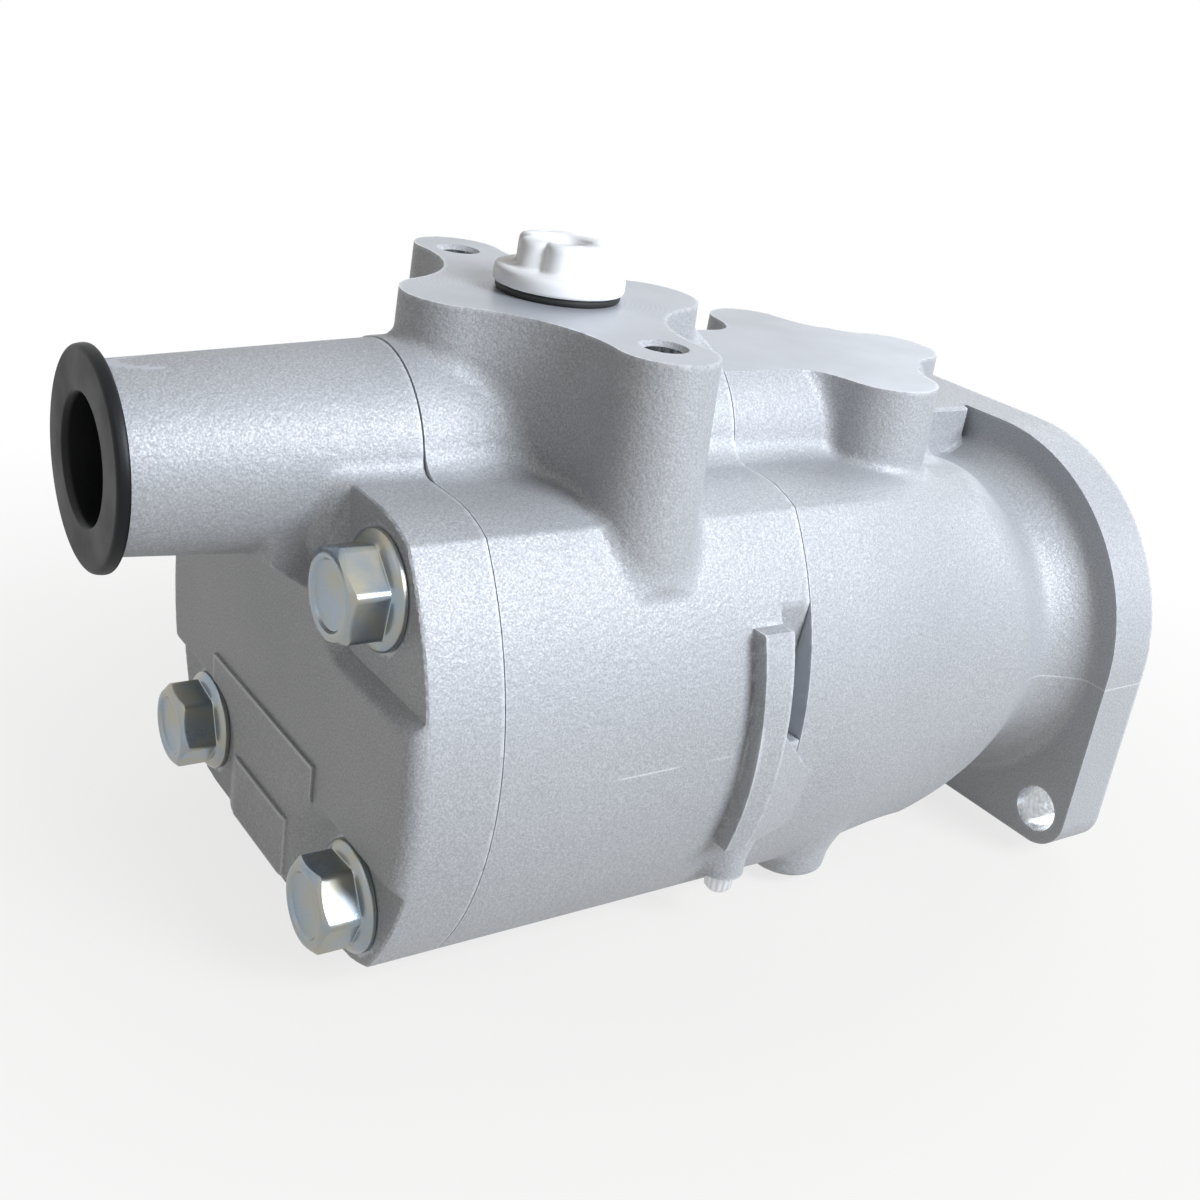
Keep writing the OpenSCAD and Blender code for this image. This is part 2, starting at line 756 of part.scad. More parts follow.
// Involute teeth: half of the angle that a tooth takes up at radius r
function involute(a) = tan(a) - a * PI / 180;
function half_tooth(r) = 90 / gear_teeth - gear_backlash / pitch_r * 45 / PI
    + (involute(pressure_angle) - involute(acos(min(1, base_r / r)))) * 180 / PI;
function flank_r(i) = base_r + (tip_r - base_r) * i / flank_steps;
function flank(side) = [for (i = [0 : flank_steps])
    let (r = flank_r(i), a = side * half_tooth(r)) [r * cos(a), r * sin(a)]];
function reversed(list) = [for (i = [len(list) - 1 : -1 : 0]) list[i]];
function turn(p, a) = [p[0] * cos(a) - p[1] * sin(a), p[0] * sin(a) + p[1] * cos(a)];
function tooth() = let (a = half_tooth(base_r) + 2) concat(
    [[root_r * cos(a), -root_r * sin(a)]], flank(-1), [[tip_r, 0]],
    reversed(flank(1)), [[root_r * cos(a), root_r * sin(a)]]);

module gear(x0, len, y, phase) {
    translate([0, y, 0]) across(x0, x0 + len) {
        polygon([for (i = [0 : gear_teeth - 1], p = tooth()) turn(p, i * pitch_angle + phase)]);
    }
}

// Straight-sided spline of a shaft end or of the sleeve that joins two of them
module spline_outline(extra = 0) {
    step = 360 / spline_teeth;
    polygon([for (i = [0 : spline_teeth - 1], q = [0 : 3])
        let (a = i * step + [-0.28, -0.18, 0.18, 0.28][q] * step,
            r = (q == 0 || q == 3 ? spline_in_r : spline_out_r) + extra)
        [r * cos(a), r * sin(a)]]);
}

module driven_gear(x0, x1, gear_x, gear_w) {
    color(steel_colour) {
        rod(x0 + coupling_gap, x1 - coupling_gap, journal_r, centre_distance);
        gear(gear_x + axial_gap, gear_w - 2 * axial_gap, centre_distance, pitch_angle / 2);
    }
}

module rear_drive_gear() {
    color(steel_colour) {
        rod(seam1_x + coupling_gap, rear_floor_x, journal_r);
        gear(seam1_x + rear_block_len + axial_gap, rear_gear_width - 2 * axial_gap, 0, 0);
        across(rear_floor_x - 0.5, rear_floor_x + spline_len) spline_outline();
    }
}

module rear_driven_gear() {
    driven_gear(seam1_x, rear_floor_x, seam1_x + rear_block_len, rear_gear_width);
}

module front_drive_gear() {
    color(steel_colour) difference() {
        union() {
            across(seam2_x - spline_len, seam2_x + 0.5) spline_outline();
            rod(seam2_x, pilot_h + 1, journal_r);
            rod(seam2_x, shaft_out - shaft_chamfer, shaft_r);
            cone(shaft_out - shaft_chamfer, shaft_out, shaft_r, shaft_r - shaft_chamfer);
            gear(seam2_x + front_block_len + axial_gap, front_gear_width - 2 * axial_gap, 0, 0);
        }
        key_block();
    }
}

module front_driven_gear() {
    driven_gear(seam2_x, front_floor_x, seam2_x + front_block_len, front_gear_width);
}

module coupling_sleeve() {
    color(steel_colour) difference() {
        rod(rear_floor_x + coupling_gap, seam2_x - coupling_gap, coupling_r);
        across(rear_floor_x - 1, seam2_x + 1) spline_outline(running_gap);
    }
}

// The square key, half sunk in the shaft
module key_block() {
    rotate([key_turn, 0, 0]) translate([key_x, -key_w / 2, shaft_r - key_w / 2]) cube([key_len, key_w, key_w]);
}

module drive_key() {
    color(steel_colour) key_block();
}

// Lip seal: a stiff outer case, a back wall and a lip that leans on the shaft
module shaft_seal() {
    lip_r = journal_r + running_gap;
    x0 = seal_back_x + 0.5;
    color([0.10, 0.10, 0.11]) turned() polygon([
        [seal_bore_r - fit_gap, x0], [seal_bore_r - fit_gap, x0 + seal_len],
        [lip_r + 1.2, x0 + seal_len], [lip_r, x0 + seal_len - 0.8], [lip_r + 1, x0 + seal_len - 2],
        [lip_r + 1, x0 + 3.6], [lip_r, x0 + 2], [lip_r + 0.8, x0 + 0.8], [lip_r + 2, x0 + 0.8],
        [lip_r + 3.4, x0 + 5.6], [seal_bore_r - 1.4, x0 + 5.6], [seal_bore_r - 1.4, x0]
    ]);
}

module seal_spring() {
    color(steel_colour) turned() translate([journal_r + 4.1, seal_back_x + 3]) circle(r = 0.7, $fn = 24);
}

// Internal circlip with two eyes at its gap
module seal_retaining_ring() {
    eye_r = 2;
    eye_at = seal_bore_r - 1.6;
    color(steel_colour) difference() {
        union() {
            difference() {
                rod(ring_x + 0.05, ring_x + 0.05 + ring_t, seal_bore_r + ring_groove_extra - 0.1, $fn = 96);
                rod(ring_x - 1, ring_x + ring_t + 1, seal_bore_r - 1.4, $fn = 96);
            }
            for (a = [-14, 14]) rotate([a, 0, 0]) rod(ring_x + 0.05, ring_x + 0.05 + ring_t, eye_r, 0, -eye_at);
        }
        for (a = [-14, 14]) rotate([a, 0, 0]) rod(ring_x - 1, ring_x + ring_t + 1, 0.9, 0, -eye_at);
        translate([ring_x - 1, -2.4, -seal_bore_r - 3]) cube([ring_t + 2, 4.8, 6]);
    }
}

// Ribbed plug of a drilled oil gallery, pressed in from below
module gallery_plug() {
    ribs = 12;
    rib_r = 0.45;
    rib_low = 0.3;
    rib_span = 2.6;
    rib_inset = 0.05;
    shank_low = rib_low + rib_span - 0.2;
    length = gallery_hole_z - gallery_low_z - 0.5;
    color([0.86, 0.87, 0.88]) translate([gallery_x, gallery_y, gallery_low_z]) {
        cylinder(h = length, r = gallery_r - rib_r);
        translate([0, 0, shank_low]) cylinder(h = length - shank_low, r = gallery_r);
        for (i = [0 : ribs - 1]) rotate(i * 360 / ribs) {
            translate([gallery_r - rib_r - rib_inset, 0, rib_low]) cylinder(h = rib_span, r = rib_r);
        }
    }
}

rear_cover();
rear_body();
front_body();
suction_plug();
port_plug();
port_plug_o_ring();
cover_bolts();
cover_dowels();
body_dowels();
cover_seal();
body_seal();
suction_o_rings();
rear_outer_bearing_block();
rear_inner_bearing_block();
front_inner_bearing_block();
front_outer_bearing_block();
rear_bushes();
front_bushes();
rear_side_seals();
front_side_seals();
rear_drive_gear();
rear_driven_gear();
front_drive_gear();
front_driven_gear();
coupling_sleeve();
drive_key();
shaft_seal();
seal_spring();
seal_retaining_ring();
gallery_plug();
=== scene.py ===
"""Tandem hydraulic gear pump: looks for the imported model. Sizes are millimetres, and metres in a mesh."""
import math

import bpy
import numpy as np
from mathutils import Euler, Matrix, Vector


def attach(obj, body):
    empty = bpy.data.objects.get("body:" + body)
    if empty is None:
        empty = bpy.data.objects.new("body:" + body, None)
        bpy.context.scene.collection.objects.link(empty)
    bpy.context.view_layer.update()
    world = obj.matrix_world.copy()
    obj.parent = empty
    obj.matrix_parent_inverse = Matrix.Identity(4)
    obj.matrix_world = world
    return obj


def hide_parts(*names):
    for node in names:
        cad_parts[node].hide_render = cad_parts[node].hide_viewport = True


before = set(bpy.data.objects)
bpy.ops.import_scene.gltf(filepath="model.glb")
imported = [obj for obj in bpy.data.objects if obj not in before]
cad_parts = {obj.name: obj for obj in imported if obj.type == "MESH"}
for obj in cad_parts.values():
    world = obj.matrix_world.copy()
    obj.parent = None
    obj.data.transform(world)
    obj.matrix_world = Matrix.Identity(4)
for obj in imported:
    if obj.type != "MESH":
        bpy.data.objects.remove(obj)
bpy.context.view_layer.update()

# Places along the shafts, as in the part's source: x is 0 at the mounting face and falls towards the cover
SEAM2 = -99.0              # between the front and the rear body
SEAM1 = -166.9             # between the rear body and the cover
COVER = -184.2             # end face of the cover
MOUTH = -218.2             # open end of the suction branch
SEAT = -181.6              # milled seats under the bolts
SEAM_GAP = 0.11            # each casting stops this far short of its seam
FLANGE_T = 12.7            # the flange lies between -FLANGE_T and 0

# The section across the shafts: drive shaft at y = z = 0, driven gears at y = 2 * MID
MID = 16.0
HALF_W, HALF_H = 56.9, 44.1
CORNER_R = 25.8
SIDE_R = 67.7              # of the arcs that bow the two sides
BOLT_Y, BOLT_Z = 35.2, 30.4
BOLT_SEAT_R = 11.4
BOLT_HOLE_R = 5.25
REAR_CHAMBER_R = 19.4
CHAMBER_END = -51.0        # front end of the front gear chamber

# The suction passage, which runs through all three castings
BRANCH_Z = 43.3
SUCTION_R = 12.5
SUCTION_END = -65.0

# The pads on top
REAR_PAD_X, REAR_PAD_Z = -130.8, 71.7
FRONT_PAD_X, FRONT_PAD_Z = -60.9, 59.9
PAD_ROOT = 31.0            # the pads' walls reach down to this height inside the body
PAD_DRAFT = 0.025
PORT_R = 10.0
TAPPED_X, TAPPED_Y = -1.3, 37.2
TAPPED_R = 3.6

# The rib beside the second seam, and the wedge that goes with it
RIB_X, RIB_END, RIB_PROUD, RIB_LOW, RIB_TOP = -113.3, -106.3, 3.6, -25.0, 22.5
RIB_INNER = -20.0          # rib and wedge reach in to this y, inside the body
WEDGE_X, WEDGE_TOP = -106.8, 2.6

# The delivery ports underneath: a drop from the suction side, a drilled passage and a port
PORT_UNDER_R, PORT_DEPTH = 9.3, 15.0
DROP_R, PASSAGE_R, PASSAGE_LOW = 7.5, 6.5, -40.0

# The gallery plug
GALLERY_X, GALLERY_Y = -103.6, -31.2
GALLERY_HOLE_R = 3.3

# The flange and the shaft's own bores
EAR_REACH, EAR_R = 53.2, 8.5
DISC_R = 46.2
EAR_HOLE_R = 5.5
SEAL_R, SEAL_DEPTH = 17.5, 10.0
PILOT_H = 6.3

FAR_INSIDE = -1e3          # so far inside a form that nothing is cut off there


# Distances to forms: negative inside, in millimetres, on whole arrays

def rounded_union(a, b, r):
    """Union of two forms with a hollow fillet: r less the length of how far each distance is short of r."""
    return np.maximum(r, np.minimum(a, b)) - np.hypot(np.maximum(r - a, 0), np.maximum(r - b, 0))


def rounded_cut(a, b, r):
    """What two forms share, with its edge rounded: the length of how far each distance passes -r, less r."""
    return np.minimum(-r, np.maximum(a, b)) + np.hypot(np.maximum(r + a, 0), np.maximum(r + b, 0))


def slab(v, low, high):
    """Between two parallel planes: how far v lies outside the nearer one."""
    return np.maximum(low - v, v - high)


def round_bar(u, v, r):
    """A round bar: distance from its axis less its radius."""
    return np.hypot(u, v) - r


def half_plane(u, v, at, towards):
    """Distance past a line through at, measured along the direction towards."""
    return ((u - at[0]) * towards[0] + (v - at[1]) * towards[1]) / math.hypot(*towards)


def wide_smooth(v, low, high):
    """From 0 at low to 1 at high, with level ends: 3 t squared less 2 t cubed."""
    t = np.clip((v - low) / (high - low), 0, 1)
    return t * t * (3 - 2 * t)


def housing_section(y, z):
    """The housing's outline: a round-cornered rectangle, and two large arcs that bow its sides.

    The rectangle is the distance from an inner rectangle less the corner radius.
    """
    a, b = np.abs(y - MID) - (HALF_W - CORNER_R), np.abs(z) - (HALF_H - CORNER_R)
    box = np.hypot(np.maximum(a, 0), np.maximum(b, 0)) + np.minimum(np.maximum(a, b), 0) - CORNER_R
    bow = np.hypot(np.abs(y - MID) + SIDE_R - HALF_W, z) - SIDE_R
    return np.maximum(box, bow)


def two_bores(y, z, r):
    """A chamber across the shafts: the nearer of the two shaft axes less the bore radius."""
    return np.hypot(np.minimum(np.abs(y), np.abs(y - 2 * MID)), z) - r


def bolt_holes(y, z, r):
    """Four round holes at the corners of the section."""
    return np.hypot(np.abs(y - MID) - BOLT_Y, np.abs(z) - BOLT_Z) - r


def delivery_port(x, y, z, port_x):
    """A drop down from the suction passage, a narrower passage below the shafts and the port underneath."""
    drop = np.hypot(x - port_x, y - MID)
    inside = np.maximum(drop - DROP_R, slab(z, 0, BRANCH_Z))
    inside = np.minimum(inside, np.maximum(drop - PASSAGE_R, slab(z, PASSAGE_LOW, 0)))
    return np.minimum(inside, np.maximum(drop - PORT_UNDER_R, z + HALF_H - PORT_DEPTH))


def flank_centre(wing_x, wing_r, lobe, flank_r):
    """Centre of a circle that touches a wing and a lobe from outside: where two larger circles cross."""
    far_wing, far_lobe = flank_r + wing_r, flank_r + lobe[2]
    apart = math.hypot(lobe[0] - wing_x, lobe[1])
    along = (far_wing ** 2 - far_lobe ** 2 + apart ** 2) / (2 * apart)
    across = math.sqrt(far_wing ** 2 - along ** 2)
    u = ((lobe[0] - wing_x) / apart, lobe[1] / apart)
    side = math.copysign(1, wing_x) * math.copysign(1, lobe[1])
    return wing_x + along * u[0] + side * across * u[1], along * u[1] - side * across * u[0]


def pad_outline(x, y, wings, wing_r, lobes):
    """Two wings and two lobes with round ends, and four hollow flanks that each touch a wing and a lobe.

    A lobe is its x, its y, its radius and the radii of its flanks towards either wing. Distances are to the
    round ends, and to the flanks inside the corner that each flank's centre makes with them, in its quarter.
    """
    past_middle = 3
    form = np.minimum(np.hypot(x - wings[0], y), np.hypot(x - wings[1], y)) - wing_r
    for lobe in lobes:
        form = np.minimum(form, np.hypot(x - lobe[0], y - lobe[1]) - lobe[2])
        for wing_x, flank_r in zip(wings, lobe[3:]):
            side_x, side_y = math.copysign(1, wing_x), math.copysign(1, lobe[1])
            turn = side_x * side_y
            cx, cy = flank_centre(wing_x, wing_r, lobe, flank_r)
            by_wing = ((x - wing_x) * cy - y * (cx - wing_x)) * turn / math.hypot(cx - wing_x, cy)
            by_lobe = ((x - lobe[0]) * (cy - lobe[1]) - (y - lobe[1]) * (cx - lobe[0])) * -turn
            by_lobe = by_lobe / math.hypot(cx - lobe[0], cy - lobe[1])
            flank = np.maximum(flank_r - np.hypot(x - cx, y - cy), np.maximum(by_wing, by_lobe))
            flank = np.maximum(flank, -past_middle - np.minimum(x * side_x, y * side_y))
            form = np.minimum(form, flank)
    return form


# The cover's two face steps: y from, y to and the height of the top edge. Each rises above the one before
STEPS = ((-5.5, 44.0, -10.7), (3.2, 36.0, -26.7))
STEP_MARGIN, STEP_RISE = 4.4, 0.7

# The cover's pockets by side of z: reach across and up from the bolt, corner radius, lean of either wall
POCKETS = {-1: (12.0, 10.9, 8.0, 2.7, 0.8), 1: (13.2, 15.4, 6.0, 1.05, 1.1)}


def face_steps(y, z, ring):
    """Outlines of the two shallow steps on the cover's end face, seen along the shafts."""
    inside = ring + STEP_MARGIN
    return [np.maximum(np.maximum(slab(y, low, high), z - top), inside) for low, high, top in STEPS]


def corner_pocket(rise, y, z, side_y, side_z):
    """A pocket round a bolt: its floor's outline, pushed out by lean times the height above the bolt's seat.

    The lean goes from that of the one wall to that of the other by the square of the slant round the corner.
    """
    reach_u, reach_w, r, lean_u, lean_w = POCKETS[side_z]
    a = BOLT_Y - side_y * (y - MID) - (reach_u - r)
    b = BOLT_Z - side_z * z - (reach_w - r)
    out = np.hypot(np.maximum(a, 0), np.maximum(b, 0))
    lean = lean_w + (lean_u - lean_w) * (np.maximum(a, 0) / np.maximum(out, 1e-6)) ** 2
    wall = out + np.minimum(np.maximum(a, b), 0) - r
    return np.maximum((wall - lean * rise) / np.hypot(1, lean), -rise)


def cover_gusset(x, y, z):
    """The small gusset under the branch: a leaning facet, its slanted flank and a level top."""
    facet_out, facet_z, slope_x, slope_z, slope = 1.2, 22.0, 0.55, 0.8, 0.97
    facet = (slope_x * (COVER - facet_out - x) + (facet_z - z) * slope_z) / slope
    flank = half_plane(y, z, (7, 19), (6.5, -9))
    near_side, top, reach = 3.5, 32, 7
    gusset = np.maximum(np.maximum(facet, flank), np.maximum(near_side - y, z - top))
    return np.maximum(gusset, COVER - reach - x)


def cover_form(x, y, z):
    """Rear cover: a round-edged plate with face steps and four corner pockets, then the tapered branch."""
    edge_r, step_root, pocket_edge_r, branch_fillet, seat_reach = 3.7, 3, 0.5, 3.0, 9
    branch_r, branch_swell = 16.5, 3.1
    ring = housing_section(y, z)
    plate = rounded_cut(ring, COVER - x, edge_r)
    for n, step in enumerate(face_steps(y, z, ring), 1):
        step = np.maximum(step, slab(x, COVER - n * STEP_RISE, COVER + step_root))
        plate = np.minimum(plate, step)
    for side_y in (-1, 1):
        for side_z in POCKETS:
            plate = rounded_cut(plate, -corner_pocket(SEAT - x, y, z, side_y, side_z), pocket_edge_r)
    plate = np.minimum(plate, cover_gusset(x, y, z))
    along = (x - MOUTH) / (SEAM1 - MOUTH)
    branch = round_bar(y - MID, z - BRANCH_Z, branch_r + branch_swell * along)
    whole = rounded_union(plate, branch, branch_fillet)
    seats = np.maximum(bolt_holes(y, z, BOLT_SEAT_R), x - SEAT)
    whole = np.maximum(whole, -np.maximum(seats, COVER - seat_reach - x))
    whole = np.maximum(whole, slab(x, MOUTH, SEAM1 - SEAM_GAP))
    inside = np.minimum(round_bar(y - MID, z - BRANCH_Z, SUCTION_R), bolt_holes(y, z, BOLT_HOLE_R))
    return np.maximum(whole, -inside)


def seam_wedge(x, y, z):
    """Wedge by the second seam: section, proud as the rib, turned about its near edge, with a slanted top."""
    lean, near, tip_x = math.radians(14.93), MID - HALF_W - RIB_PROUD, -93.3
    turned_y = near + (y - near) * math.cos(lean) - (x - WEDGE_X) * math.sin(lean)
    wedge = np.maximum(housing_section(turned_y, z) - RIB_PROUD, y - RIB_INNER)
    wedge = np.maximum(wedge, half_plane(x, z, (WEDGE_X, WEDGE_TOP), (13.2, 13.5)))
    return np.maximum(wedge, np.maximum(slab(z, RIB_LOW, WEDGE_TOP), slab(x, WEDGE_X - 0.2, tip_x)))


def side_relief(x, y, z):
    """The relief between the rib and the seam: a floor that slopes inwards with height."""
    low, high, floor_y, slope, level_z = -1.7, 28.0, -35.9, 0.11, 25.6
    floor = y - floor_y - slope * (level_z - z)
    return np.maximum(np.maximum(slab(x, RIB_END, SEAM2 + 2), slab(z, low, high)), floor)


def side_rib(x, y, z, ring):
    """The upright rib: the section swelled by its height, between two planes of which one leans a little."""
    draft, end_r = 0.03, 0.5
    across = slab(x, RIB_X - draft * (z - RIB_TOP), RIB_END)
    rib = np.maximum(np.maximum(ring - RIB_PROUD, y - RIB_INNER), across)
    return rounded_cut(rib, slab(z, RIB_LOW, RIB_TOP), end_r)


def gallery_boss(x, y, z, ring):
    """A small round boss about the gallery plug, blended into the section near the second seam."""
    boss_r, boss_low, root, fillet, reach_y, reach_z = 4.6, -36.2, -20.0, 2.5, -20.0, -27.0
    boss = np.maximum(np.hypot(x - GALLERY_X, y - GALLERY_Y) - boss_r, slab(z, boss_low, root))
    around = np.maximum(slab(x, SEAM2 - 12, SEAM2 - SEAM_GAP), np.maximum(z - reach_z, y - reach_y))
    return np.maximum(rounded_union(ring, boss, fillet), around)


def rear_form(x, y, z):
    """Rear body: the section, the suction hump, the ported pad, the rib, the sloping relief and the ports."""
    rib_fillet, hump_fillet, pad_fillet = 0.7, 5.0, 2.0
    hump_r, hump_swell = 19.9, 2.6
    wings, wing_r = (-20.1, 18.9), 12.3
    lobes = ((-2.3, -39.5, 9.6, 27.0, 24.0), (0.0, 39.9, 9.2, 27.0, 24.0))
    ring = housing_section(y, z)
    whole = np.maximum(ring, -side_relief(x, y, z))
    whole = rounded_union(whole, side_rib(x, y, z, ring), rib_fillet)
    along = (x - SEAM1) / (SEAM2 - SEAM1)
    whole = rounded_union(whole, round_bar(y - MID, z - BRANCH_Z, hump_r + hump_swell * along), hump_fillet)
    px, py = x - REAR_PAD_X, y - MID
    pad = pad_outline(px, py, wings, wing_r, lobes) - (REAR_PAD_Z - z) * PAD_DRAFT
    whole = rounded_union(whole, np.maximum(pad, PAD_ROOT - z), pad_fillet)
    whole = np.maximum(whole, slab(x, SEAM1 + SEAM_GAP, SEAM2 - SEAM_GAP))
    whole = np.maximum(whole, z - REAR_PAD_Z)
    whole = np.minimum(whole, gallery_boss(x, y, z, ring))

    chamber_end, shaft_r = -112.9, 11.0
    tapped_depth, countersink, port_x, gallery_top = 20, 0.9, -139.9, -27.5
    inside = np.maximum(two_bores(y, z, REAR_CHAMBER_R), x - chamber_end)
    inside = np.minimum(inside, round_bar(y - MID, z - BRANCH_Z, SUCTION_R))
    inside = np.minimum(inside, round_bar(y, z, shaft_r))
    inside = np.minimum(inside, bolt_holes(y, z, BOLT_HOLE_R))
    inside = np.minimum(inside, np.maximum(np.hypot(px, py) - PORT_R, BRANCH_Z - z))
    tapped = np.hypot(px - TAPPED_X, np.abs(py) - TAPPED_Y) - TAPPED_R
    tapped = np.maximum(tapped - np.maximum(z - REAR_PAD_Z + countersink, 0), REAR_PAD_Z - tapped_depth - z)
    inside = np.minimum(np.minimum(inside, tapped), delivery_port(x, y, z, port_x))
    gallery = np.maximum(np.hypot(x - GALLERY_X, y - GALLERY_Y) - GALLERY_HOLE_R, z - gallery_top)
    return np.maximum(whole, -np.minimum(inside, gallery))


def flange_plate(y, z):
    """Flange outline: a round plate with two ears, each drawn out along the diagonal by straight tangents."""
    u, v = (y + z) / math.sqrt(2), (z - y) / math.sqrt(2)
    lean = math.acos((DISC_R - EAR_R) / EAR_REACH)
    disc = np.hypot(u, v) - DISC_R
    a, b = np.abs(u), np.abs(v)
    side = (a * math.cos(lean) + b * math.sin(lean)) - DISC_R
    along = a * math.sin(lean) - b * math.cos(lean)
    bar = np.where(along < 0, disc, np.maximum(side, along - EAR_REACH * math.sin(lean)))
    ears = np.hypot(a - EAR_REACH, b) - EAR_R
    return np.minimum(np.minimum(disc, ears), bar)


def ear_holes(y, z):
    """Distance from the axis of the nearer mounting hole."""
    u, v = (y + z) / math.sqrt(2), (z - y) / math.sqrt(2)
    return np.hypot(np.abs(u) - EAR_REACH, v)


def barrel(x, y, z, ring):
    """The front body's barrel: the section drawn in to the neck, which flares out to the flange.

    On the near side a slanting shoulder cuts the section off. On the far side the section turns smoothly into
    the neck's circle. The two are mixed across the body, and the neck's radius grows by a power of x. The
    distance of a leaning form is divided by the length of its slope.
    """
    inset_depth, inset_from, inset_to = 3.0, -86, -46
    shoulder_r, shoulder_rise, shoulder_slope, shoulder_edge_r = 48.5, 0.66, 1.2, 2.0
    drawn_from, drawn_to, drawn_r, far_end = -54, -17, 35.0, -15
    neck_r, neck_slope, neck_fillet = 33.8, 1.15, 3.0
    flare, flare_from, flare_length, flare_power = 7.0, -34.0, 21.3, 2.6
    near_side, far_side = -22, 18
    off_axis = np.hypot(y, z)
    ring = ring + inset_depth * wide_smooth(x, inset_from, inset_to)
    shoulder = (off_axis - shoulder_r + shoulder_rise * (x - inset_to)) / shoulder_slope
    near = rounded_cut(ring, shoulder, shoulder_edge_r)
    drawn = wide_smooth(x, drawn_from, drawn_to)
    far = np.maximum((1 - drawn) * ring + drawn * (off_axis - drawn_r), x - far_end)
    side = wide_smooth(y, near_side, far_side)
    whole = (1 - side) * near + side * far
    radius = neck_r + flare * np.clip((x - flare_from) / flare_length, 0, 1) ** flare_power
    return rounded_union(whole, np.maximum((off_axis - radius) / neck_slope, slab(x, -60, -5)), neck_fillet)


def front_web(x, y, z):
    """The web between front pad and flange: a block with rounded edges, and a core that joins the flange."""
    top, root, near, far, end_r, top_r = 46.5, 20.0, 9.0, 35.0, 1.8, 1.2
    web = rounded_cut(slab(y, near, far), slab(x, -45.0, -14.3), end_r)
    web = rounded_cut(web, z - top, top_r)
    core = np.maximum(slab(y, near + 3.5, far), np.maximum(slab(x, -30.0, -12.0), z - top))
    return np.maximum(np.minimum(web, core), root - z)


def under_boss(x, y, z):
    """The boss underneath: a cone that widens upwards by 0.12 a side, with a rounded lower edge."""
    boss_x, boss_y, boss_r, draft, low, root, edge_r = -74.5, -20.0, 8.6, 0.12, -47.1, -20, 1.5
    boss = rounded_cut(np.hypot(x - boss_x, y - boss_y) - boss_r - (z + 47) * draft, low - z, edge_r)
    return np.maximum(boss, z - root)


def front_form(x, y, z):
    """Front body: the barrel, the hump, the second pad, its web, the flange, the pilot and the seam wedge.

    The wedge lies over the rear body's side, so the rear body's own volume is taken out of it.
    """
    hump_r, hump_end, hump_end_r, hump_fillet = 22.5, -40.0, 6.0, 4.0
    wings, wing_r, pad_fillet = (-20.1, 22.2), 10.9, 2.2
    lobes = ((-0.4, -22.4, 11.2, 20.0, 20.0), (0.6, 23.8, 9.8, 16.0, 19.0))
    web_fillet, plate_fillet, boss_fillet, wedge_gap = 1.5, 0.9, 3.0, 0.4
    pilot_r, pilot_edge_r = 41.275, 0.5
    ring = housing_section(y, z)
    whole = barrel(x, y, z, ring)
    hump = np.maximum(round_bar(y - MID, z - BRANCH_Z, hump_r), z - FRONT_PAD_Z)
    whole = rounded_union(whole, rounded_cut(hump, x - hump_end, hump_end_r), hump_fillet)
    pad = pad_outline(x - FRONT_PAD_X, y - MID, wings, wing_r, lobes) - (FRONT_PAD_Z - z) * PAD_DRAFT
    whole = rounded_union(whole, np.maximum(pad, PAD_ROOT - z), pad_fillet)
    whole = rounded_union(whole, front_web(x, y, z), web_fillet)
    plate = flange_plate(y, z)
    whole = rounded_union(whole, np.maximum(plate, slab(x, -FLANGE_T, 0)), plate_fillet)
    whole = np.maximum(whole, np.where(x > -FLANGE_T - 0.5, plate, FAR_INSIDE))
    whole = rounded_union(whole, under_boss(x, y, z), boss_fillet)
    whole = np.maximum(whole, SEAM2 + SEAM_GAP - x)
    over_rear = np.where(x < SEAM2 + SEAM_GAP, -wedge_gap - ring, FAR_INSIDE)
    whole = np.minimum(whole, np.maximum(seam_wedge(x, y, z), over_rear))
    whole = np.maximum(whole, z - FRONT_PAD_Z)
    pilot = rounded_cut(round_bar(y, z, pilot_r), slab(x, -3, PILOT_H), pilot_edge_r)
    whole = np.minimum(np.maximum(whole, x), pilot)

    chamber_r, shaft_r, bolt_r, bolt_end, port_x = 19.5, 10.5, 5.05, -76, -75
    inside = np.maximum(two_bores(y, z, chamber_r), x - CHAMBER_END)
    inside = np.minimum(inside, round_bar(y, z, shaft_r))
    inside = np.minimum(inside, np.maximum(round_bar(y, z, SEAL_R), -SEAL_DEPTH - x))
    inside = np.minimum(inside, np.maximum(round_bar(y - MID, z - BRANCH_Z, SUCTION_R), x - SUCTION_END))
    inside = np.minimum(inside, np.maximum(bolt_holes(y, z, bolt_r), x - bolt_end))
    inside = np.minimum(inside, delivery_port(x, y, z, port_x))
    inside = np.minimum(inside, np.maximum(ear_holes(y, z) - EAR_HOLE_R, -FLANGE_T - 1 - x))
    return np.maximum(whole, -inside)


def crossed_edges(solid, axes, cell):
    """Both ends of each grid edge that the surface crosses, and the numbers of the four cubes round it."""
    cubes = tuple(len(a) - 1 for a in axes)
    step = np.eye(3, dtype=int)
    starts, ends, quads = [], [], []
    for axis in range(3):
        here, there = [slice(None)] * 3, [slice(None)] * 3
        here[axis], there[axis] = slice(None, -1), slice(1, None)
        crossed = np.argwhere(solid[tuple(here)] != solid[tuple(there)])
        start = np.stack([axes[k][crossed[:, k]] for k in range(3)], 1)
        starts.append(start)
        ends.append(start + step[axis] * cell)
        b, c = step[(axis + 1) % 3], step[(axis + 2) % 3]
        ring = [crossed - b - c, crossed - c, crossed, crossed - b]
        numbers = np.stack([np.ravel_multi_index(r.T, cubes) for r in ring], 1)
        entering = ~solid[tuple(crossed.T)]
        numbers[entering] = numbers[entering][:, ::-1]
        quads.append(numbers)
    return np.concatenate(starts), np.concatenate(ends), np.concatenate(quads)


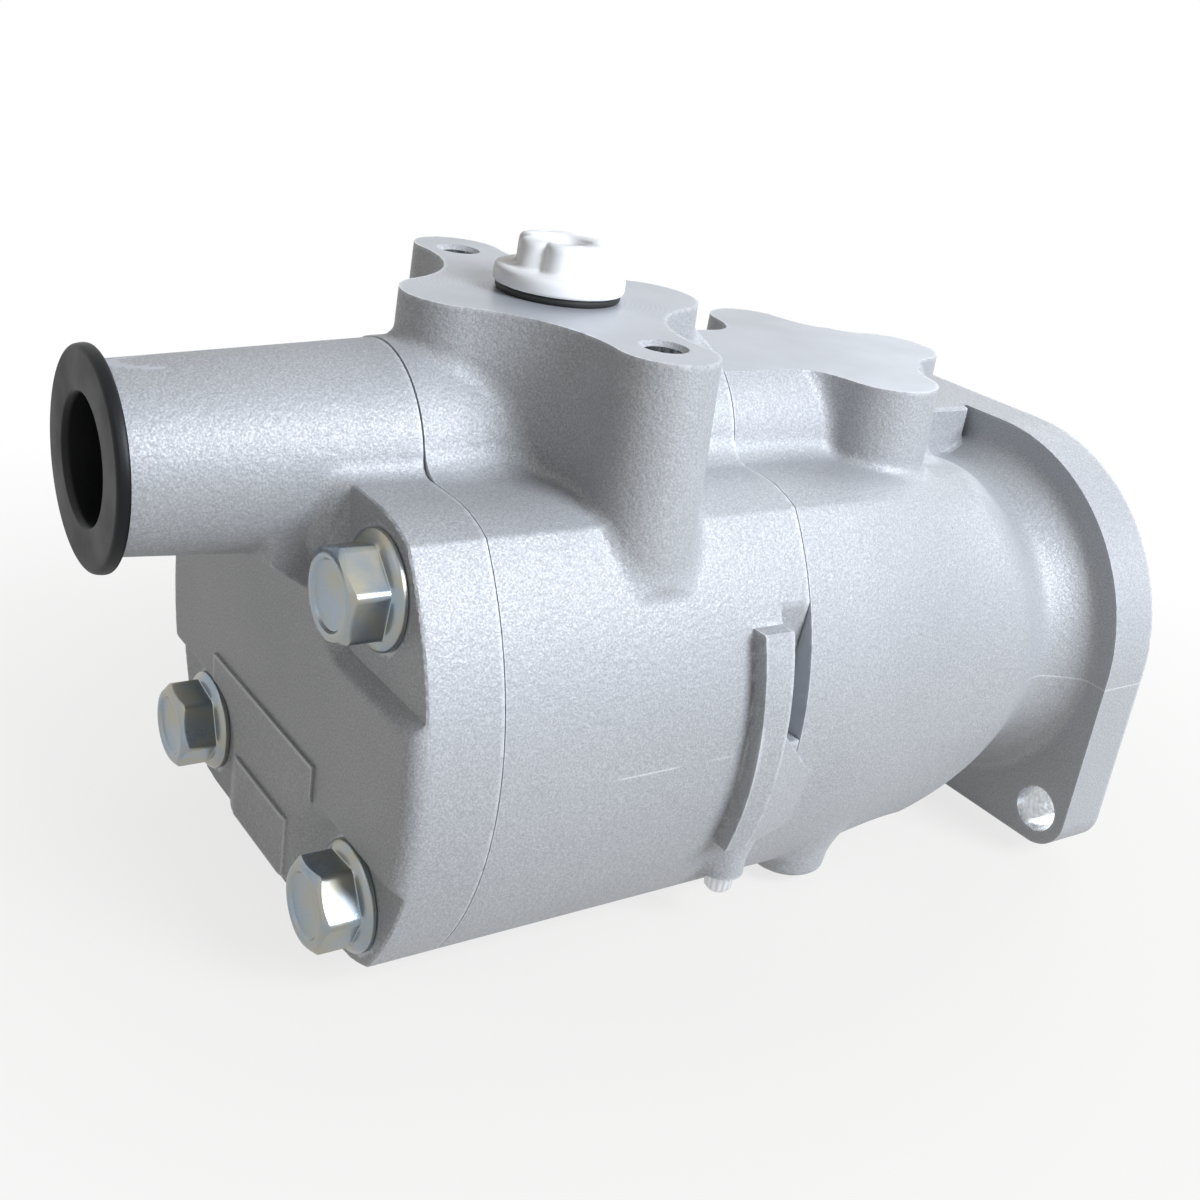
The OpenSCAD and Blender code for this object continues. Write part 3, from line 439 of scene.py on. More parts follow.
def surface_points(form, start, end):
    """Where form is zero between two ends, by halving the way seven times, and its unit slope there."""
    halvings, nudge = 7, 0.02
    inside = form(*start.T) < 0
    for _ in range(halvings):
        middle = (start + end) / 2
        same = ((form(*middle.T) < 0) == inside)[:, None]
        start, end = np.where(same, middle, start), np.where(same, end, middle)
    point = (start + end) / 2
    slope = np.stack([form(*(point + nudge * e).T) - form(*(point - nudge * e).T) for e in np.eye(3)], 1)
    return point, slope / np.maximum(np.linalg.norm(slope, axis=1), 1e-9)[:, None]


def nearest_to_planes(point, slope, local, total):
    """One point for each cube: nearest, in least squares, to the planes through its crossings.

    A light pull towards the mean of the crossings settles it where the planes leave it free.
    """
    pull = 0.04
    count = np.zeros(total)
    mean, right, square = np.zeros((total, 3)), np.zeros((total, 3)), np.zeros((total, 3, 3))
    reach = (slope * point).sum(1)
    for which in local.T:
        count += np.bincount(which, minlength=total)
        for i in range(3):
            mean[:, i] += np.bincount(which, point[:, i], total)
            right[:, i] += np.bincount(which, slope[:, i] * reach, total)
            for j in range(3):
                square[:, i, j] += np.bincount(which, slope[:, i] * slope[:, j], total)
    mean /= count[:, None]
    return np.linalg.solve(square + pull * np.eye(3), (right + pull * mean)[:, :, None])[:, :, 0]


def contoured(form, low, high, cell):
    """Points and four-sided faces of the surface where form is zero.

    A grid of cubes is laid over the box. Each grid edge that the surface crosses gets a crossing point and
    the slope of form there. Each cube that has crossings gets one point, which the planes through them put on
    edges and corners. Each crossed edge gets the face between the four cubes round it.
    """
    offset, slack = 0.37, 0.05
    axes = [np.arange(low[a] + offset * cell, high[a] + cell, cell) for a in range(3)]
    value = form(axes[0][:, None, None], axes[1][None, :, None], axes[2][None, None, :])
    solid = np.broadcast_to(value < 0, [len(a) for a in axes])
    start, end, quads = crossed_edges(solid, axes, cell)
    used, local = np.unique(quads, return_inverse=True)
    local = local.reshape(-1, 4)
    place = nearest_to_planes(*surface_points(form, start, end), local, len(used))
    index = np.unravel_index(used, tuple(len(a) - 1 for a in axes))
    corner = np.stack([axes[k][index[k]] for k in range(3)], 1)
    return np.clip(place, corner - slack * cell, corner + (1 + slack) * cell), local


def face_middles(points, faces):
    """Each face's middle, and the cross product of its diagonals, which points outwards."""
    across = np.cross(points[faces[:, 2]] - points[faces[:, 0]], points[faces[:, 3]] - points[faces[:, 1]])
    return points[faces].mean(1), across


def unit(vectors):
    """Vectors divided by their lengths."""
    return vectors / np.maximum(np.linalg.norm(vectors, axis=1), 1e-9)[:, None]


def machined(points, faces):
    """0 for a cast face, 1 for a milled one, 2 for a bored or drilled one.

    Milled are the pads, the branch's mouth, the mounting face, the seams and the bolt seats. A face is bored
    when its middle is no farther from a bore's axis than the radius and a small margin, between its ends.
    """
    near, seam_near, square_on, along = 0.1, 0.2, 0.97, 0.6
    centre, across = face_middles(points, faces)
    normal = unit(across)
    x, y, z = centre.T
    flat_x, flat_z = np.abs(normal[:, 0]) > square_on, normal[:, 2] > square_on
    along_x, along_z = np.abs(normal[:, 0]) < along, np.abs(normal[:, 2]) < along
    milled = flat_z & ((np.abs(z - REAR_PAD_Z) < near) | (np.abs(z - FRONT_PAD_Z) < near))
    seams = (np.abs(x - SEAM2) < seam_near) | (np.abs(x - SEAM1) < seam_near)
    milled |= flat_x & ((np.abs(x - MOUTH) < near) | (x > -near) | seams)
    milled |= flat_x & (np.abs(x - SEAT) < near) & (bolt_holes(y, z, BOLT_SEAT_R - 0.1) < 0)

    px, py = x - REAR_PAD_X, y - MID
    port = np.hypot(px, py) - PORT_R - 0.4
    tapped = np.hypot(px - TAPPED_X, np.abs(py) - TAPPED_Y) - TAPPED_R - 1.2
    bored = (ear_holes(y, z) < EAR_HOLE_R + 0.2) & along_x & (x > -FLANGE_T - 0.2)
    bored |= (np.minimum(port, tapped) < 0) & (z > BRANCH_Z + 0.7) & along_z
    bored |= (two_bores(y, z, REAR_CHAMBER_R + 0.4) < 0) & (slab(x, SEAM1 + 0.9, CHAMBER_END + 0.3) < 0)
    bored |= (round_bar(y, z, SEAL_R + 0.3) < 0) & (slab(x, CHAMBER_END - 1, PILOT_H - 0.1) < 0)
    bored |= (round_bar(y - MID, z - BRANCH_Z, SUCTION_R + 0.2) < 0) & (x < SUCTION_END + 1)
    bored |= (bolt_holes(y, z, BOLT_HOLE_R + 0.35) < 0) & (x < -70) & along_x
    return np.where(bored, 2, np.where(milled, 1, 0))


def painted_edge_highlight(points, faces, cell):
    """How sharply the surface bends outwards at each point.

    That is how far the point stands above its neighbours' mean, in cells; the materials paint it as a pale
    highlight along convex edges.
    The rims of the cover's low steps get a set amount of painted highlight.
    """
    rim, rim_highlight = 0.3, 0.6
    centre, across = face_middles(points, faces)
    at = faces.ravel()
    count = np.bincount(at, minlength=len(points))[:, None]
    mean, normal = (np.stack([np.bincount(at, np.repeat(value[:, k], 4), len(points)) for k in range(3)], 1)
                    for value in (centre, across))
    # Painted highlight: convex points get a value that the materials turn towards near white
    edge_highlight = ((points - mean / count) * unit(normal)).sum(1) / cell
    x, y, z = points.T
    # Painted highlight on the rims of the cover's low steps, where they would catch the light
    for n, step in enumerate(face_steps(y, z, housing_section(y, z)), 1):
        on_rim = (np.abs(step) < rim) & (np.abs(COVER - n * STEP_RISE - x) < rim)
        edge_highlight = np.where(on_rim, rim_highlight, edge_highlight)
    return edge_highlight


def new_object(name, points, faces, smooth_angle=32.0):
    """A mesh object at the origin, from points in millimetres and an array of faces of one length."""
    mesh = bpy.data.meshes.new(name)
    corners = faces.shape[1]
    mesh.vertices.add(len(points))
    mesh.vertices.foreach_set("co", (np.asarray(points) / 1000.0).astype(np.float32).ravel())
    mesh.loops.add(faces.size)
    mesh.loops.foreach_set("vertex_index", faces.astype(np.int32).ravel())
    mesh.polygons.add(len(faces))
    mesh.polygons.foreach_set("loop_start", np.arange(0, faces.size, corners, dtype=np.int32))
    mesh.polygons.foreach_set("loop_total", np.full(len(faces), corners, np.int32))
    mesh.update(calc_edges=True)
    mesh.polygons.foreach_set("use_smooth", np.ones(len(faces), bool))
    mesh.set_sharp_from_angle(angle=math.radians(smooth_angle))
    made = bpy.data.objects.new(name, mesh)
    bpy.context.scene.collection.objects.link(made)
    return made


# Small turned and ribbed pieces

POLE = 0.01                # radius of the smallest ring, which stands for a pole
BOLT_HEAD = 9.6            # from the bolt's seat to the end of its head


def steps_round(count):
    """Equal steps of angle round a circle."""
    return np.arange(count) * 2 * math.pi / count


def rings_about(axis, pairs, angle):
    """Rings about x or z from pairs of place and radius: radius times cosine and sine of the angle."""
    rings = []
    for along, radius in pairs:
        u, v = radius * np.cos(angle), radius * np.sin(angle)
        rings.append(np.stack(np.broadcast_arrays(*((along, u, v) if axis == "x" else (u, v, along))), 1))
    return rings


def swept(rings, closed=False):
    """Points of a row of rings and the faces between them; closed joins the last ring to the first.

    Faces point outwards where rings run down the outside of a shape, against its axis.
    """
    count, around = len(rings), len(rings[0])
    i, j = np.meshgrid(np.arange(count if closed else count - 1), np.arange(around), indexing="ij")
    i2, j2 = (i + 1) % count, (j + 1) % around
    faces = np.stack([i * around + j, i2 * around + j, i2 * around + j2, i * around + j2], 2)
    return np.concatenate(rings), faces.reshape(-1, 4)


def turned_over(faces):
    """The same faces seen from their other side."""
    return faces[:, [0, 3, 2, 1]]


def softened(profile, r, steps=3):
    """A profile whose inner corners are small arcs: points on a quadratic curve by each corner."""
    profile = [np.array(p, float) for p in profile]
    out = [profile[0]]
    for before, here, after in zip(profile, profile[1:], profile[2:]):
        a, b = before - here, after - here
        la, lb = np.linalg.norm(a), np.linalg.norm(b)
        cut = min(r, 0.45 * la, 0.45 * lb)
        start, end = here + a / la * cut, here + b / lb * cut
        for t in np.linspace(0, 1, steps + 1):
            out.append((1 - t) ** 2 * start + 2 * t * (1 - t) * here + t * t * end)
    out.append(profile[-1])
    return out


def flange_bolt():
    """A flanged hexagon bolt along +x from its dished head at 0: height is a function of radius and angle.

    On a grid of angle and rim distance the head's outline goes from the hexagon, r = flat / cos(angle to the
    flat), trimmed by the cone of the chamfer, down to the round flange, then to the shank.
    """
    flat_r, corner_r, chamfer_r, flange_r, shank_r, shank_end = 8.0, 9.0, 7.5, 10.6, 5.0, 112.2
    angle = steps_round(120)
    to_flat = (angle + math.pi / 6) % (math.pi / 3) - math.pi / 6
    hexagon = np.minimum(flat_r / np.cos(to_flat), corner_r)
    crown = np.maximum(hexagon - chamfer_r, 0) * 0.6
    dish = [(0.7, POLE), (0.7, 5.2), (0.55, 5.9), (0.1, 6.35), (0.0, 6.7), (0.0, 7.3)]
    chamfer = [(crown * 0.3 + 0.03, 0.55 * 7.4 + 0.45 * hexagon), (crown + 0.05, hexagon - 0.25),
               (crown + 0.3, hexagon - 0.03), (crown + 0.5, hexagon), (crown + 0.8, hexagon)]
    flats = [(6.6, hexagon), (7.1, hexagon), (7.25, hexagon + 0.1), (7.4, hexagon * 0.5 + 9.4 * 0.5)]
    flange = [(7.7, 9.75), (8.15, 10.25), (8.35, 10.45), (8.6, 10.58), (8.8, flange_r), (9.3, flange_r),
              (9.5, 10.45), (BOLT_HEAD, 10.2)]
    shank = [(BOLT_HEAD, shank_r + 0.2), (BOLT_HEAD + 0.2, shank_r), (shank_end - 1, shank_r),
             (shank_end, shank_r - 1), (shank_end, POLE)]
    points, faces = swept(rings_about("x", dish + chamfer + flats + flange + shank, angle))
    return points, turned_over(faces)


def cover_bolt_set():
    """The four bolts: one bolt turned about its axis by its own angle and moved to each corner."""
    corners_and_turns = ((-1, 1, 11), (-1, -1, 26), (1, -1, 38), (1, 1, 12))
    points, faces = flange_bolt()
    x, y, z = points.T
    all_points, all_faces = [], []
    for n, (side_y, side_z, turn) in enumerate(corners_and_turns):
        a = math.radians(turn)
        turned_y, turned_z = y * math.cos(a) - z * math.sin(a), y * math.sin(a) + z * math.cos(a)
        moved = (x + SEAT - BOLT_HEAD, turned_y + MID + side_y * BOLT_Y, turned_z + side_z * BOLT_Z)
        all_points.append(np.stack(moved, 1))
        all_faces.append(faces + n * len(points))
    return np.concatenate(all_points), np.concatenate(all_faces)


def branch_plug():
    """The suction plug: a hollow stopper whose profile runs round its rim and down into its bore."""
    cup = [(-202.2, POLE), (-202.2, 10.6), (-219.6, 11.1)]
    rim = [(-220.6, 11.6), (-220.6, 18.6), (-220.2, 19.2), (-219.0, 19.4), (-218.3, 19.3)]
    stopper = [(-218.25, 12.48), (-200.8, 12.1), (-200.2, 11.4), (-200.2, POLE)]
    points, faces = swept(rings_about("x", softened(cup + rim + stopper, 0.35), steps_round(96)))
    return points + (0, MID, BRANCH_Z), turned_over(faces)


def pad_plug():
    """The port plug: a thick disc with a crown of fat round ribs, and a hollow stopper.

    The crown's radius is grip + wave * |cos 3 a|^0.8, and heights are above the seat of the disc.
    """
    grip, wave, seat = 7.3, 1.9, 1.5
    angle = steps_round(128)
    fat = grip + wave * np.abs(np.cos(3 * angle)) ** 0.8
    well = [(5.0, POLE), (5.0, 4.2), (5.2, 4.7), (8.4, 4.9), (8.8, 5.3)]
    crown = [(8.9, fat - 1.3), (8.65, fat - 0.55), (8.1, fat - 0.12), (7.3, fat), (4.0, fat + 0.1),
             (3.55, fat + 0.5), (3.4, fat + 1.1)]
    disc = [(3.38, 11.4), (3.2, 12.2), (2.8, 12.6), (2.1, 12.7), (0.6, 12.7), (0.15, 12.5), (0.0, 12.1)]
    stopper = [(0.0, 9.95), (-13.5, 9.7), (-13.5, 8.0), (-3.0, 8.0), (-3.0, POLE)]
    points, faces = swept(rings_about("z", well + crown + disc + stopper, angle))
    return points + (REAR_PAD_X, MID, REAR_PAD_Z + seat), faces


def pad_ring():
    """The O-ring under the plug's disc: a circle carried round a circle, and pressed flat at its seats."""
    cord_r, ring_r, pressed, height = 0.88, 11.25, 0.74, 0.75
    a, b = steps_round(128)[:, None], steps_round(20)[None, :]
    r = ring_r + cord_r * np.cos(b)
    z = np.clip(cord_r * np.sin(b), -pressed, pressed)
    points, faces = swept(np.stack(np.broadcast_arrays(r * np.cos(a), r * np.sin(a), z), 2), closed=True)
    return points + (REAR_PAD_X, MID, REAR_PAD_Z + height), faces


def gallery_stub():
    """The gallery plug: a stub with a domed end, whose radius ripples: grip + 0.2 cos(14 a)."""
    low, shoulder, top, grip_r, stub_r = -41.2, -36.0, -28.3, 2.95, 3.15
    angle = steps_round(168)
    ripple = np.cos(14 * angle)
    dome = [(low, POLE), (-41.1, 1.3), (-40.7, 2.2), (-40.0, 2.75 + 0.12 * ripple)]
    grip = [(shoulder, grip_r + 0.2 * ripple), (shoulder + 0.1, stub_r), (top, stub_r), (top, POLE)]
    points, faces = swept(rings_about("z", dome + grip, angle))
    return points + (GALLERY_X, GALLERY_Y, 0), turned_over(faces)


# Materials

def linear(code):
    """A colour written as sRGB hex, as linear red, green, blue and alpha."""
    values = [int(code[n:n + 2], 16) / 255 for n in (1, 3, 5)]
    return [v / 12.92 if v <= 0.04045 else ((v + 0.055) / 1.055) ** 2.4 for v in values] + [1.0]


def add(tree, kind, inputs=None, **settings):
    """Adds a node with its settings. An input is linked to a socket, or gets a hex colour or a value.

    A Mix node's inputs are 0, 6 and 7: its factor and two colours. A Map Range's are 0 to 4: its value, the
    range that it comes from and the range that it goes to, which is 0 to 1 if not given.
    """
    node = tree.nodes.new(kind)
    for name, value in settings.items():
        setattr(node, name, value)
    for name, value in (inputs or {}).items():
        if isinstance(value, bpy.types.NodeSocket):
            tree.links.new(value, node.inputs[name])
        else:
            node.inputs[name].default_value = linear(value) if isinstance(value, str) else value
    return node


def start_material(name):
    """A material with an empty node tree, and its Object coordinates in metres."""
    material = bpy.data.materials.new(name)
    material.use_nodes = True
    material.node_tree.nodes.clear()
    return material, material.node_tree, add(material.node_tree, "ShaderNodeTexCoord").outputs["Object"]


def shot_blasted_aluminium():
    """Die-cast aluminium, shot-blasted: pale dull grey with a fine sparkle and a shallow dimpled skin.

    Two greys mix by clouds, then by flecks. Edges that stand out get a painted highlight, and so does the
    parting line,
    2.1 mm below the shafts, which is whole by the flange and broken along the rear body.
    """
    material, tree, place = start_material("shot_blasted_cast_aluminium")
    # Dimples of 1.1 mm, grit marks of 0.4 mm and clouds of tone over 45 mm
    dimples = {0: place, "Scale": 900.0, "Detail": 2.0, "Roughness": 0.55}
    dimples = add(tree, "ShaderNodeTexNoise", dimples).outputs[0]
    grains = {0: place, "Scale": 2600.0, "Detail": 2.0, "Roughness": 0.7}
    grains = add(tree, "ShaderNodeTexNoise", grains).outputs[0]
    clouds = add(tree, "ShaderNodeTexNoise", {0: place, "Scale": 22.0, "Detail": 3.0}).outputs[0]
    cloudy = add(tree, "ShaderNodeMapRange", {0: clouds, 1: 0.35, 2: 0.68}).outputs[0]
    tone = add(tree, "ShaderNodeMix", {0: cloudy, 6: "#ABADB0", 7: "#B4B6B9"}, data_type="RGBA").outputs[2]
    flecked = add(tree, "ShaderNodeMapRange", {0: grains, 1: 0.40, 2: 0.66}).outputs[0]
    flecks = add(tree, "ShaderNodeMix", {0: flecked, 6: "#8C8D90", 7: "#CFD1D4"}, data_type="RGBA").outputs[2]
    skin = add(tree, "ShaderNodeMix", {0: 0.38, 6: tone, 7: flecks}, data_type="RGBA").outputs[2]
    # Painted highlight: convex edges are mixed towards near white
    edge_highlight = add(tree, "ShaderNodeAttribute", attribute_name="painted_edge_highlight").outputs["Fac"]
    edge_highlight = add(tree, "ShaderNodeMapRange", {0: edge_highlight, 1: 0.1, 2: 0.45, 3: 0.0, 4: 0.55}).outputs[0]
    skin = add(tree, "ShaderNodeMix", {0: edge_highlight, 6: skin, 7: "#E4E6E9"}, data_type="RGBA").outputs[2]

    along, _, height = add(tree, "ShaderNodeSeparateXYZ", {0: place}).outputs
    # Painted highlight along the parting line's ridge, 2.1 mm below the shafts: a band mixed towards near
    # white
    parting_highlight = add(tree, "ShaderNodeMath", {0: height, 1: 0.0021}, operation="ADD").outputs[0]
    parting_highlight = add(tree, "ShaderNodeMath", {0: parting_highlight}, operation="ABSOLUTE").outputs[0]
    parting_highlight = add(tree, "ShaderNodeMapRange", {0: parting_highlight, 1: 0.0, 2: 0.0003, 3: 1.0, 4: 0.0}).outputs[0]
    gaps = add(tree, "ShaderNodeTexNoise", {0: place, "Scale": 70.0, "Detail": 1.0}).outputs[0]
    gaps = add(tree, "ShaderNodeMapRange", {0: gaps, 1: 0.5, 2: 0.6, 3: 0.0, 4: 0.5}).outputs[0]
    by_flange = add(tree, "ShaderNodeMapRange", {0: along, 1: -0.030, 2: -0.022, 3: 0.0, 4: 0.45}).outputs[0]
    up_to_rib = add(tree, "ShaderNodeMapRange", {0: along, 1: -0.114, 2: -0.110, 3: 1.0, 4: 0.0}).outputs[0]
    off_cover = add(tree, "ShaderNodeMapRange", {0: along, 1: -0.150, 2: -0.146}).outputs[0]
    by_rear = add(tree, "ShaderNodeMath", {0: up_to_rib, 1: off_cover}, operation="MULTIPLY").outputs[0]
    by_rear = add(tree, "ShaderNodeMath", {0: by_rear, 1: gaps}, operation="MULTIPLY").outputs[0]
    where = add(tree, "ShaderNodeMath", {0: by_rear, 1: by_flange}, operation="MAXIMUM").outputs[0]
    parting_highlight = add(tree, "ShaderNodeMath", {0: parting_highlight, 1: where}, operation="MULTIPLY").outputs[0]
    colour = add(tree, "ShaderNodeMix", {0: parting_highlight, 6: skin, 7: "#F0F1F3"}, data_type="RGBA").outputs[2]

    rough = add(tree, "ShaderNodeMapRange", {0: grains, 1: 0.3, 2: 0.7, 3: 0.64, 4: 0.47}).outputs[0]
    low = add(tree, "ShaderNodeBump", {"Height": dimples, "Strength": 0.5, "Distance": 0.0003}).outputs[0]
    fine = {"Height": grains, "Normal": low, "Strength": 0.5, "Distance": 0.0001}
    normal = add(tree, "ShaderNodeBump", fine).outputs[0]
    shader = add(tree, "ShaderNodeBsdfPrincipled",
                 {"Base Color": colour, "Metallic": 0.22, "Roughness": rough, "Normal": normal})
    add(tree, "ShaderNodeOutputMaterial", {0: shader.outputs[0]})
    return material


def milled_aluminium():
    """Face-milled aluminium: smooth pale grey with faint arcs that the cutter left about the port's axis."""
    material, tree, place = start_material("milled_aluminium")
    port = (-REAR_PAD_X / 1000, -MID / 1000, 0.0)
    centred = add(tree, "ShaderNodeMapping", {0: place, "Location": port}).outputs[0]
    # Arcs 1 mm apart, and clouds of tone over 17 mm
    wave = {0: centred, "Scale": 320.0, "Distortion": 1.2, "Detail": 2.0, "Detail Scale": 1.5}
    arcs = add(tree, "ShaderNodeTexWave", wave, wave_type="RINGS", rings_direction="Z").outputs[0]
    clouds = add(tree, "ShaderNodeTexNoise", {0: place, "Scale": 60.0, "Detail": 3.0}).outputs[0]
    cloudy = add(tree, "ShaderNodeMapRange", {0: clouds, 1: 0.35, 2: 0.65}).outputs[0]
    tone = add(tree, "ShaderNodeMix", {0: cloudy, 6: "#B8BCC2", 7: "#C2C6CC"}, data_type="RGBA").outputs[2]
    # Painted highlight: convex edges are mixed towards near white
    edge_highlight = add(tree, "ShaderNodeAttribute", attribute_name="painted_edge_highlight").outputs["Fac"]
    edge_highlight = add(tree, "ShaderNodeMapRange", {0: edge_highlight, 1: 0.1, 2: 0.4, 3: 0.0, 4: 0.7}).outputs[0]
    colour = add(tree, "ShaderNodeMix", {0: edge_highlight, 6: tone, 7: "#E8EAEC"}, data_type="RGBA").outputs[2]
    rough = add(tree, "ShaderNodeMapRange", {0: arcs, 1: 0.0, 2: 1.0, 3: 0.34, 4: 0.44}).outputs[0]
    bump = add(tree, "ShaderNodeBump", {"Height": arcs, "Strength": 0.12, "Distance": 0.00004}).outputs[0]
    shader = add(tree, "ShaderNodeBsdfPrincipled",
                 {"Base Color": colour, "Metallic": 0.35, "Roughness": rough, "Normal": bump})
    add(tree, "ShaderNodeOutputMaterial", {0: shader.outputs[0]})
    return material


def mottled_material(name, tones, metallic, rough, patches, marks, bump,
                     share=(0.35, 0.65), detail=(4.0, 2.0), specular=0.5):
    """Two close tones and a range of roughness, both by a noise in patches, and a bump by finer marks.

    A noise's scale is 1000 over the size of its features in millimetres.
    """
    material, tree, place = start_material(name)
    patchy = add(tree, "ShaderNodeTexNoise", {0: place, "Scale": patches, "Detail": detail[0]}).outputs[0]
    marked = add(tree, "ShaderNodeTexNoise", {0: place, "Scale": marks, "Detail": detail[1]}).outputs[0]
    factor = add(tree, "ShaderNodeMapRange", {0: patchy, 1: share[0], 2: share[1]}).outputs[0]
    colour = add(tree, "ShaderNodeMix", {0: factor, 6: tones[0], 7: tones[1]}, data_type="RGBA").outputs[2]
    gloss = add(tree, "ShaderNodeMapRange", {0: patchy, 1: 0.3, 2: 0.7, 3: rough[0], 4: rough[1]}).outputs[0]
    normal = add(tree, "ShaderNodeBump", {"Height": marked, "Strength": bump, "Distance": 0.0001}).outputs[0]
    look = {"Base Color": colour, "Metallic": metallic, "Roughness": gloss, "Normal": normal}
    shader = add(tree, "ShaderNodeBsdfPrincipled", {**look, "Specular IOR Level": specular})
    add(tree, "ShaderNodeOutputMaterial", {0: shader.outputs[0]})
    return material


def bored_aluminium():
    """Bored and drilled aluminium: bright, with tool marks of about 1 mm that streak the reflections."""
    return mottled_material("bored_aluminium", ("#B4B8BC", "#D5D8DB"), 0.95, (0.16, 0.3), 900.0, 900.0, 0.3,
                            detail=(2.0, 2.0))


def zinc_plated_steel():
    """Blue-passivated zinc on a cold-forged bolt: satin, clouded over 7 mm, warm where plating is thin."""
    return mottled_material("zinc_plated_steel", ("#8E9AA4", "#A19D8E"), 1.0, (0.24, 0.36), 150.0, 1500.0,
                            0.15, share=(0.38, 0.66), detail=(4.0, 3.0))


def black_polyethylene():
    """Moulded black polyethylene: nearly black, a soft sheen in patches of 11 mm and a grain of 0.7 mm."""
    return mottled_material("black_polyethylene", ("#08090B", "#0D0E11"), 0.0, (0.38, 0.54), 90.0, 1400.0,
                            0.2, specular=0.25)


def white_polyethylene():
    """Moulded white polyethylene: clean white, softly shining, with a faint grain of 0.8 mm."""
    return mottled_material("white_polyethylene", ("#FCFDFD", "#FFFFFF"), 0.0, (0.35, 0.5), 90.0, 1200.0, 0.1)


def nitrile_rubber():
    """Moulded nitrile rubber: dull black, with patches of 5 mm and a grain of 0.4 mm."""
    return mottled_material("nitrile_rubber", ("#111112", "#19191A"), 0.0, (0.55, 0.75), 200.0, 2500.0, 0.3)


def ground_steel():
    """Case-hardened steel, ground: a bright even grey with grinding marks of 0.3 mm."""
    return mottled_material("ground_case_hardened_steel", ("#A6A8AA", "#B7B9BB"), 1.0, (0.18, 0.32), 300.0,
                            3000.0, 0.15)


def machined_aluminium():
    """Turned and milled aluminium blocks: pale metal, a little duller than the steel."""
    return mottled_material("machined_aluminium", ("#B4B5B6", "#C3C4C5"), 1.0, (0.28, 0.42), 220.0, 2500.0,
                            0.2)


def bearing_bronze():
    """Sintered bearing bronze: warm yellow-brown metal with pores of 0.4 mm."""
    return mottled_material("bearing_bronze", ("#B08A50", "#C09A60"), 1.0, (0.25, 0.4), 240.0, 2600.0, 0.2)


def turned_aluminium():
    """A small turned plug: very pale and half dull, so that its ripples show."""
    return mottled_material("turned_aluminium_plug", ("#E4E6E8", "#EEEFF1"), 0.5, (0.3, 0.45), 260.0, 2500.0,
                            0.15)


CAST, MILLED, BORED = shot_blasted_aluminium(), milled_aluminium(), bored_aluminium()
ZINC, BRIGHT = zinc_plated_steel(), turned_aluminium()
BLACK, WHITE = black_polyethylene(), white_polyethylene()
RUBBER, STEEL, BLOCK, BRONZE = nitrile_rubber(), ground_steel(), machined_aluminium(), bearing_bronze()

NODE_MATERIAL = {RUBBER: ("cover_seal", "body_seal", "suction_o_rings", "rear_side_seals", "front_side_seals",
                          "shaft_seal"),
                 BLOCK: ("rear_outer_bearing_block", "rear_inner_bearing_block", "front_inner_bearing_block",
                         "front_outer_bearing_block"),
                 BRONZE: ("rear_bushes", "front_bushes")}
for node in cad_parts.values():
    node.data.materials.clear()
    node.data.materials.append(STEEL)
for material, names in NODE_MATERIAL.items():
    for node_name in names:
        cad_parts[node_name].data.materials[0] = material


# Pieces

def place_piece(name, mesh, material, body, node, smooth_angle=32.0):
    """Makes a piece that rides on its body, stands for its node and takes the given material."""
    piece = new_object(name, *mesh, smooth_angle=smooth_angle)
    piece.data.materials.append(material)
    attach(piece, body)
    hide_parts(node)
    return piece


# Each casting's form, the box that its grid covers, the grid's cell and the node that it stands for
CASTINGS = (("rear_cover_casting", cover_form, (-220, -44, -47), (-166, 76, 64), 0.8, "rear_cover"),
            ("rear_body_casting", rear_form, (-168, -47, -47), (-98, 76, 73.5), 0.98, "rear_body"),
            ("front_body_casting", front_form, (-110, -49, -50), (8, 76, 63), 1.0, "front_body"))
for name, form, low, high, cell, node in CASTINGS:
    casting = contoured(form, low, high, cell)
    piece = place_piece(name, casting, CAST, "housing", node)
    piece.data.materials.append(MILLED)
    piece.data.materials.append(BORED)
    piece.data.polygons.foreach_set("material_index", machined(*casting).astype(np.int32))
    # The painted edge highlight, which the cast and milled materials read
    highlight_values = piece.data.attributes.new("painted_edge_highlight", "FLOAT", "POINT")
    highlight_values.data.foreach_set("value", painted_edge_highlight(*casting, cell).astype(np.float32))

place_piece("cover_bolt_set", cover_bolt_set(), ZINC, "housing", "cover_bolts", 28.0)
place_piece("branch_stopper", branch_plug(), BLACK, "branch_plug", "suction_plug", 40.0)
place_piece("pad_stopper", pad_plug(), WHITE, "pad_plug", "port_plug", 50.0)
place_piece("pad_stopper_ring", pad_ring(), RUBBER, "pad_plug", "port_plug_o_ring", 60.0)
place_piece("gallery_stub", gallery_stub(), BRIGHT, "housing", "gallery_plug", 40.0)


# Floor, light and camera, in metres

FLOOR_Z = -0.0502
FLOOR_SPAN = 4.0
LIT = (-0.1, 0.01, 0.01)


def seen_plain(tree):
    """1 for camera, glossy and transmission rays, which see plain white, and 0 for the rest."""
    rays = add(tree, "ShaderNodeLightPath").outputs
    seen = {0: rays["Is Camera Ray"], 1: rays["Is Glossy Ray"]}
    seen = add(tree, "ShaderNodeMath", seen, operation="MAXIMUM").outputs[0]
    seen = {0: seen, 1: rays["Is Transmission Ray"]}
    return add(tree, "ShaderNodeMath", seen, operation="MAXIMUM").outputs[0]


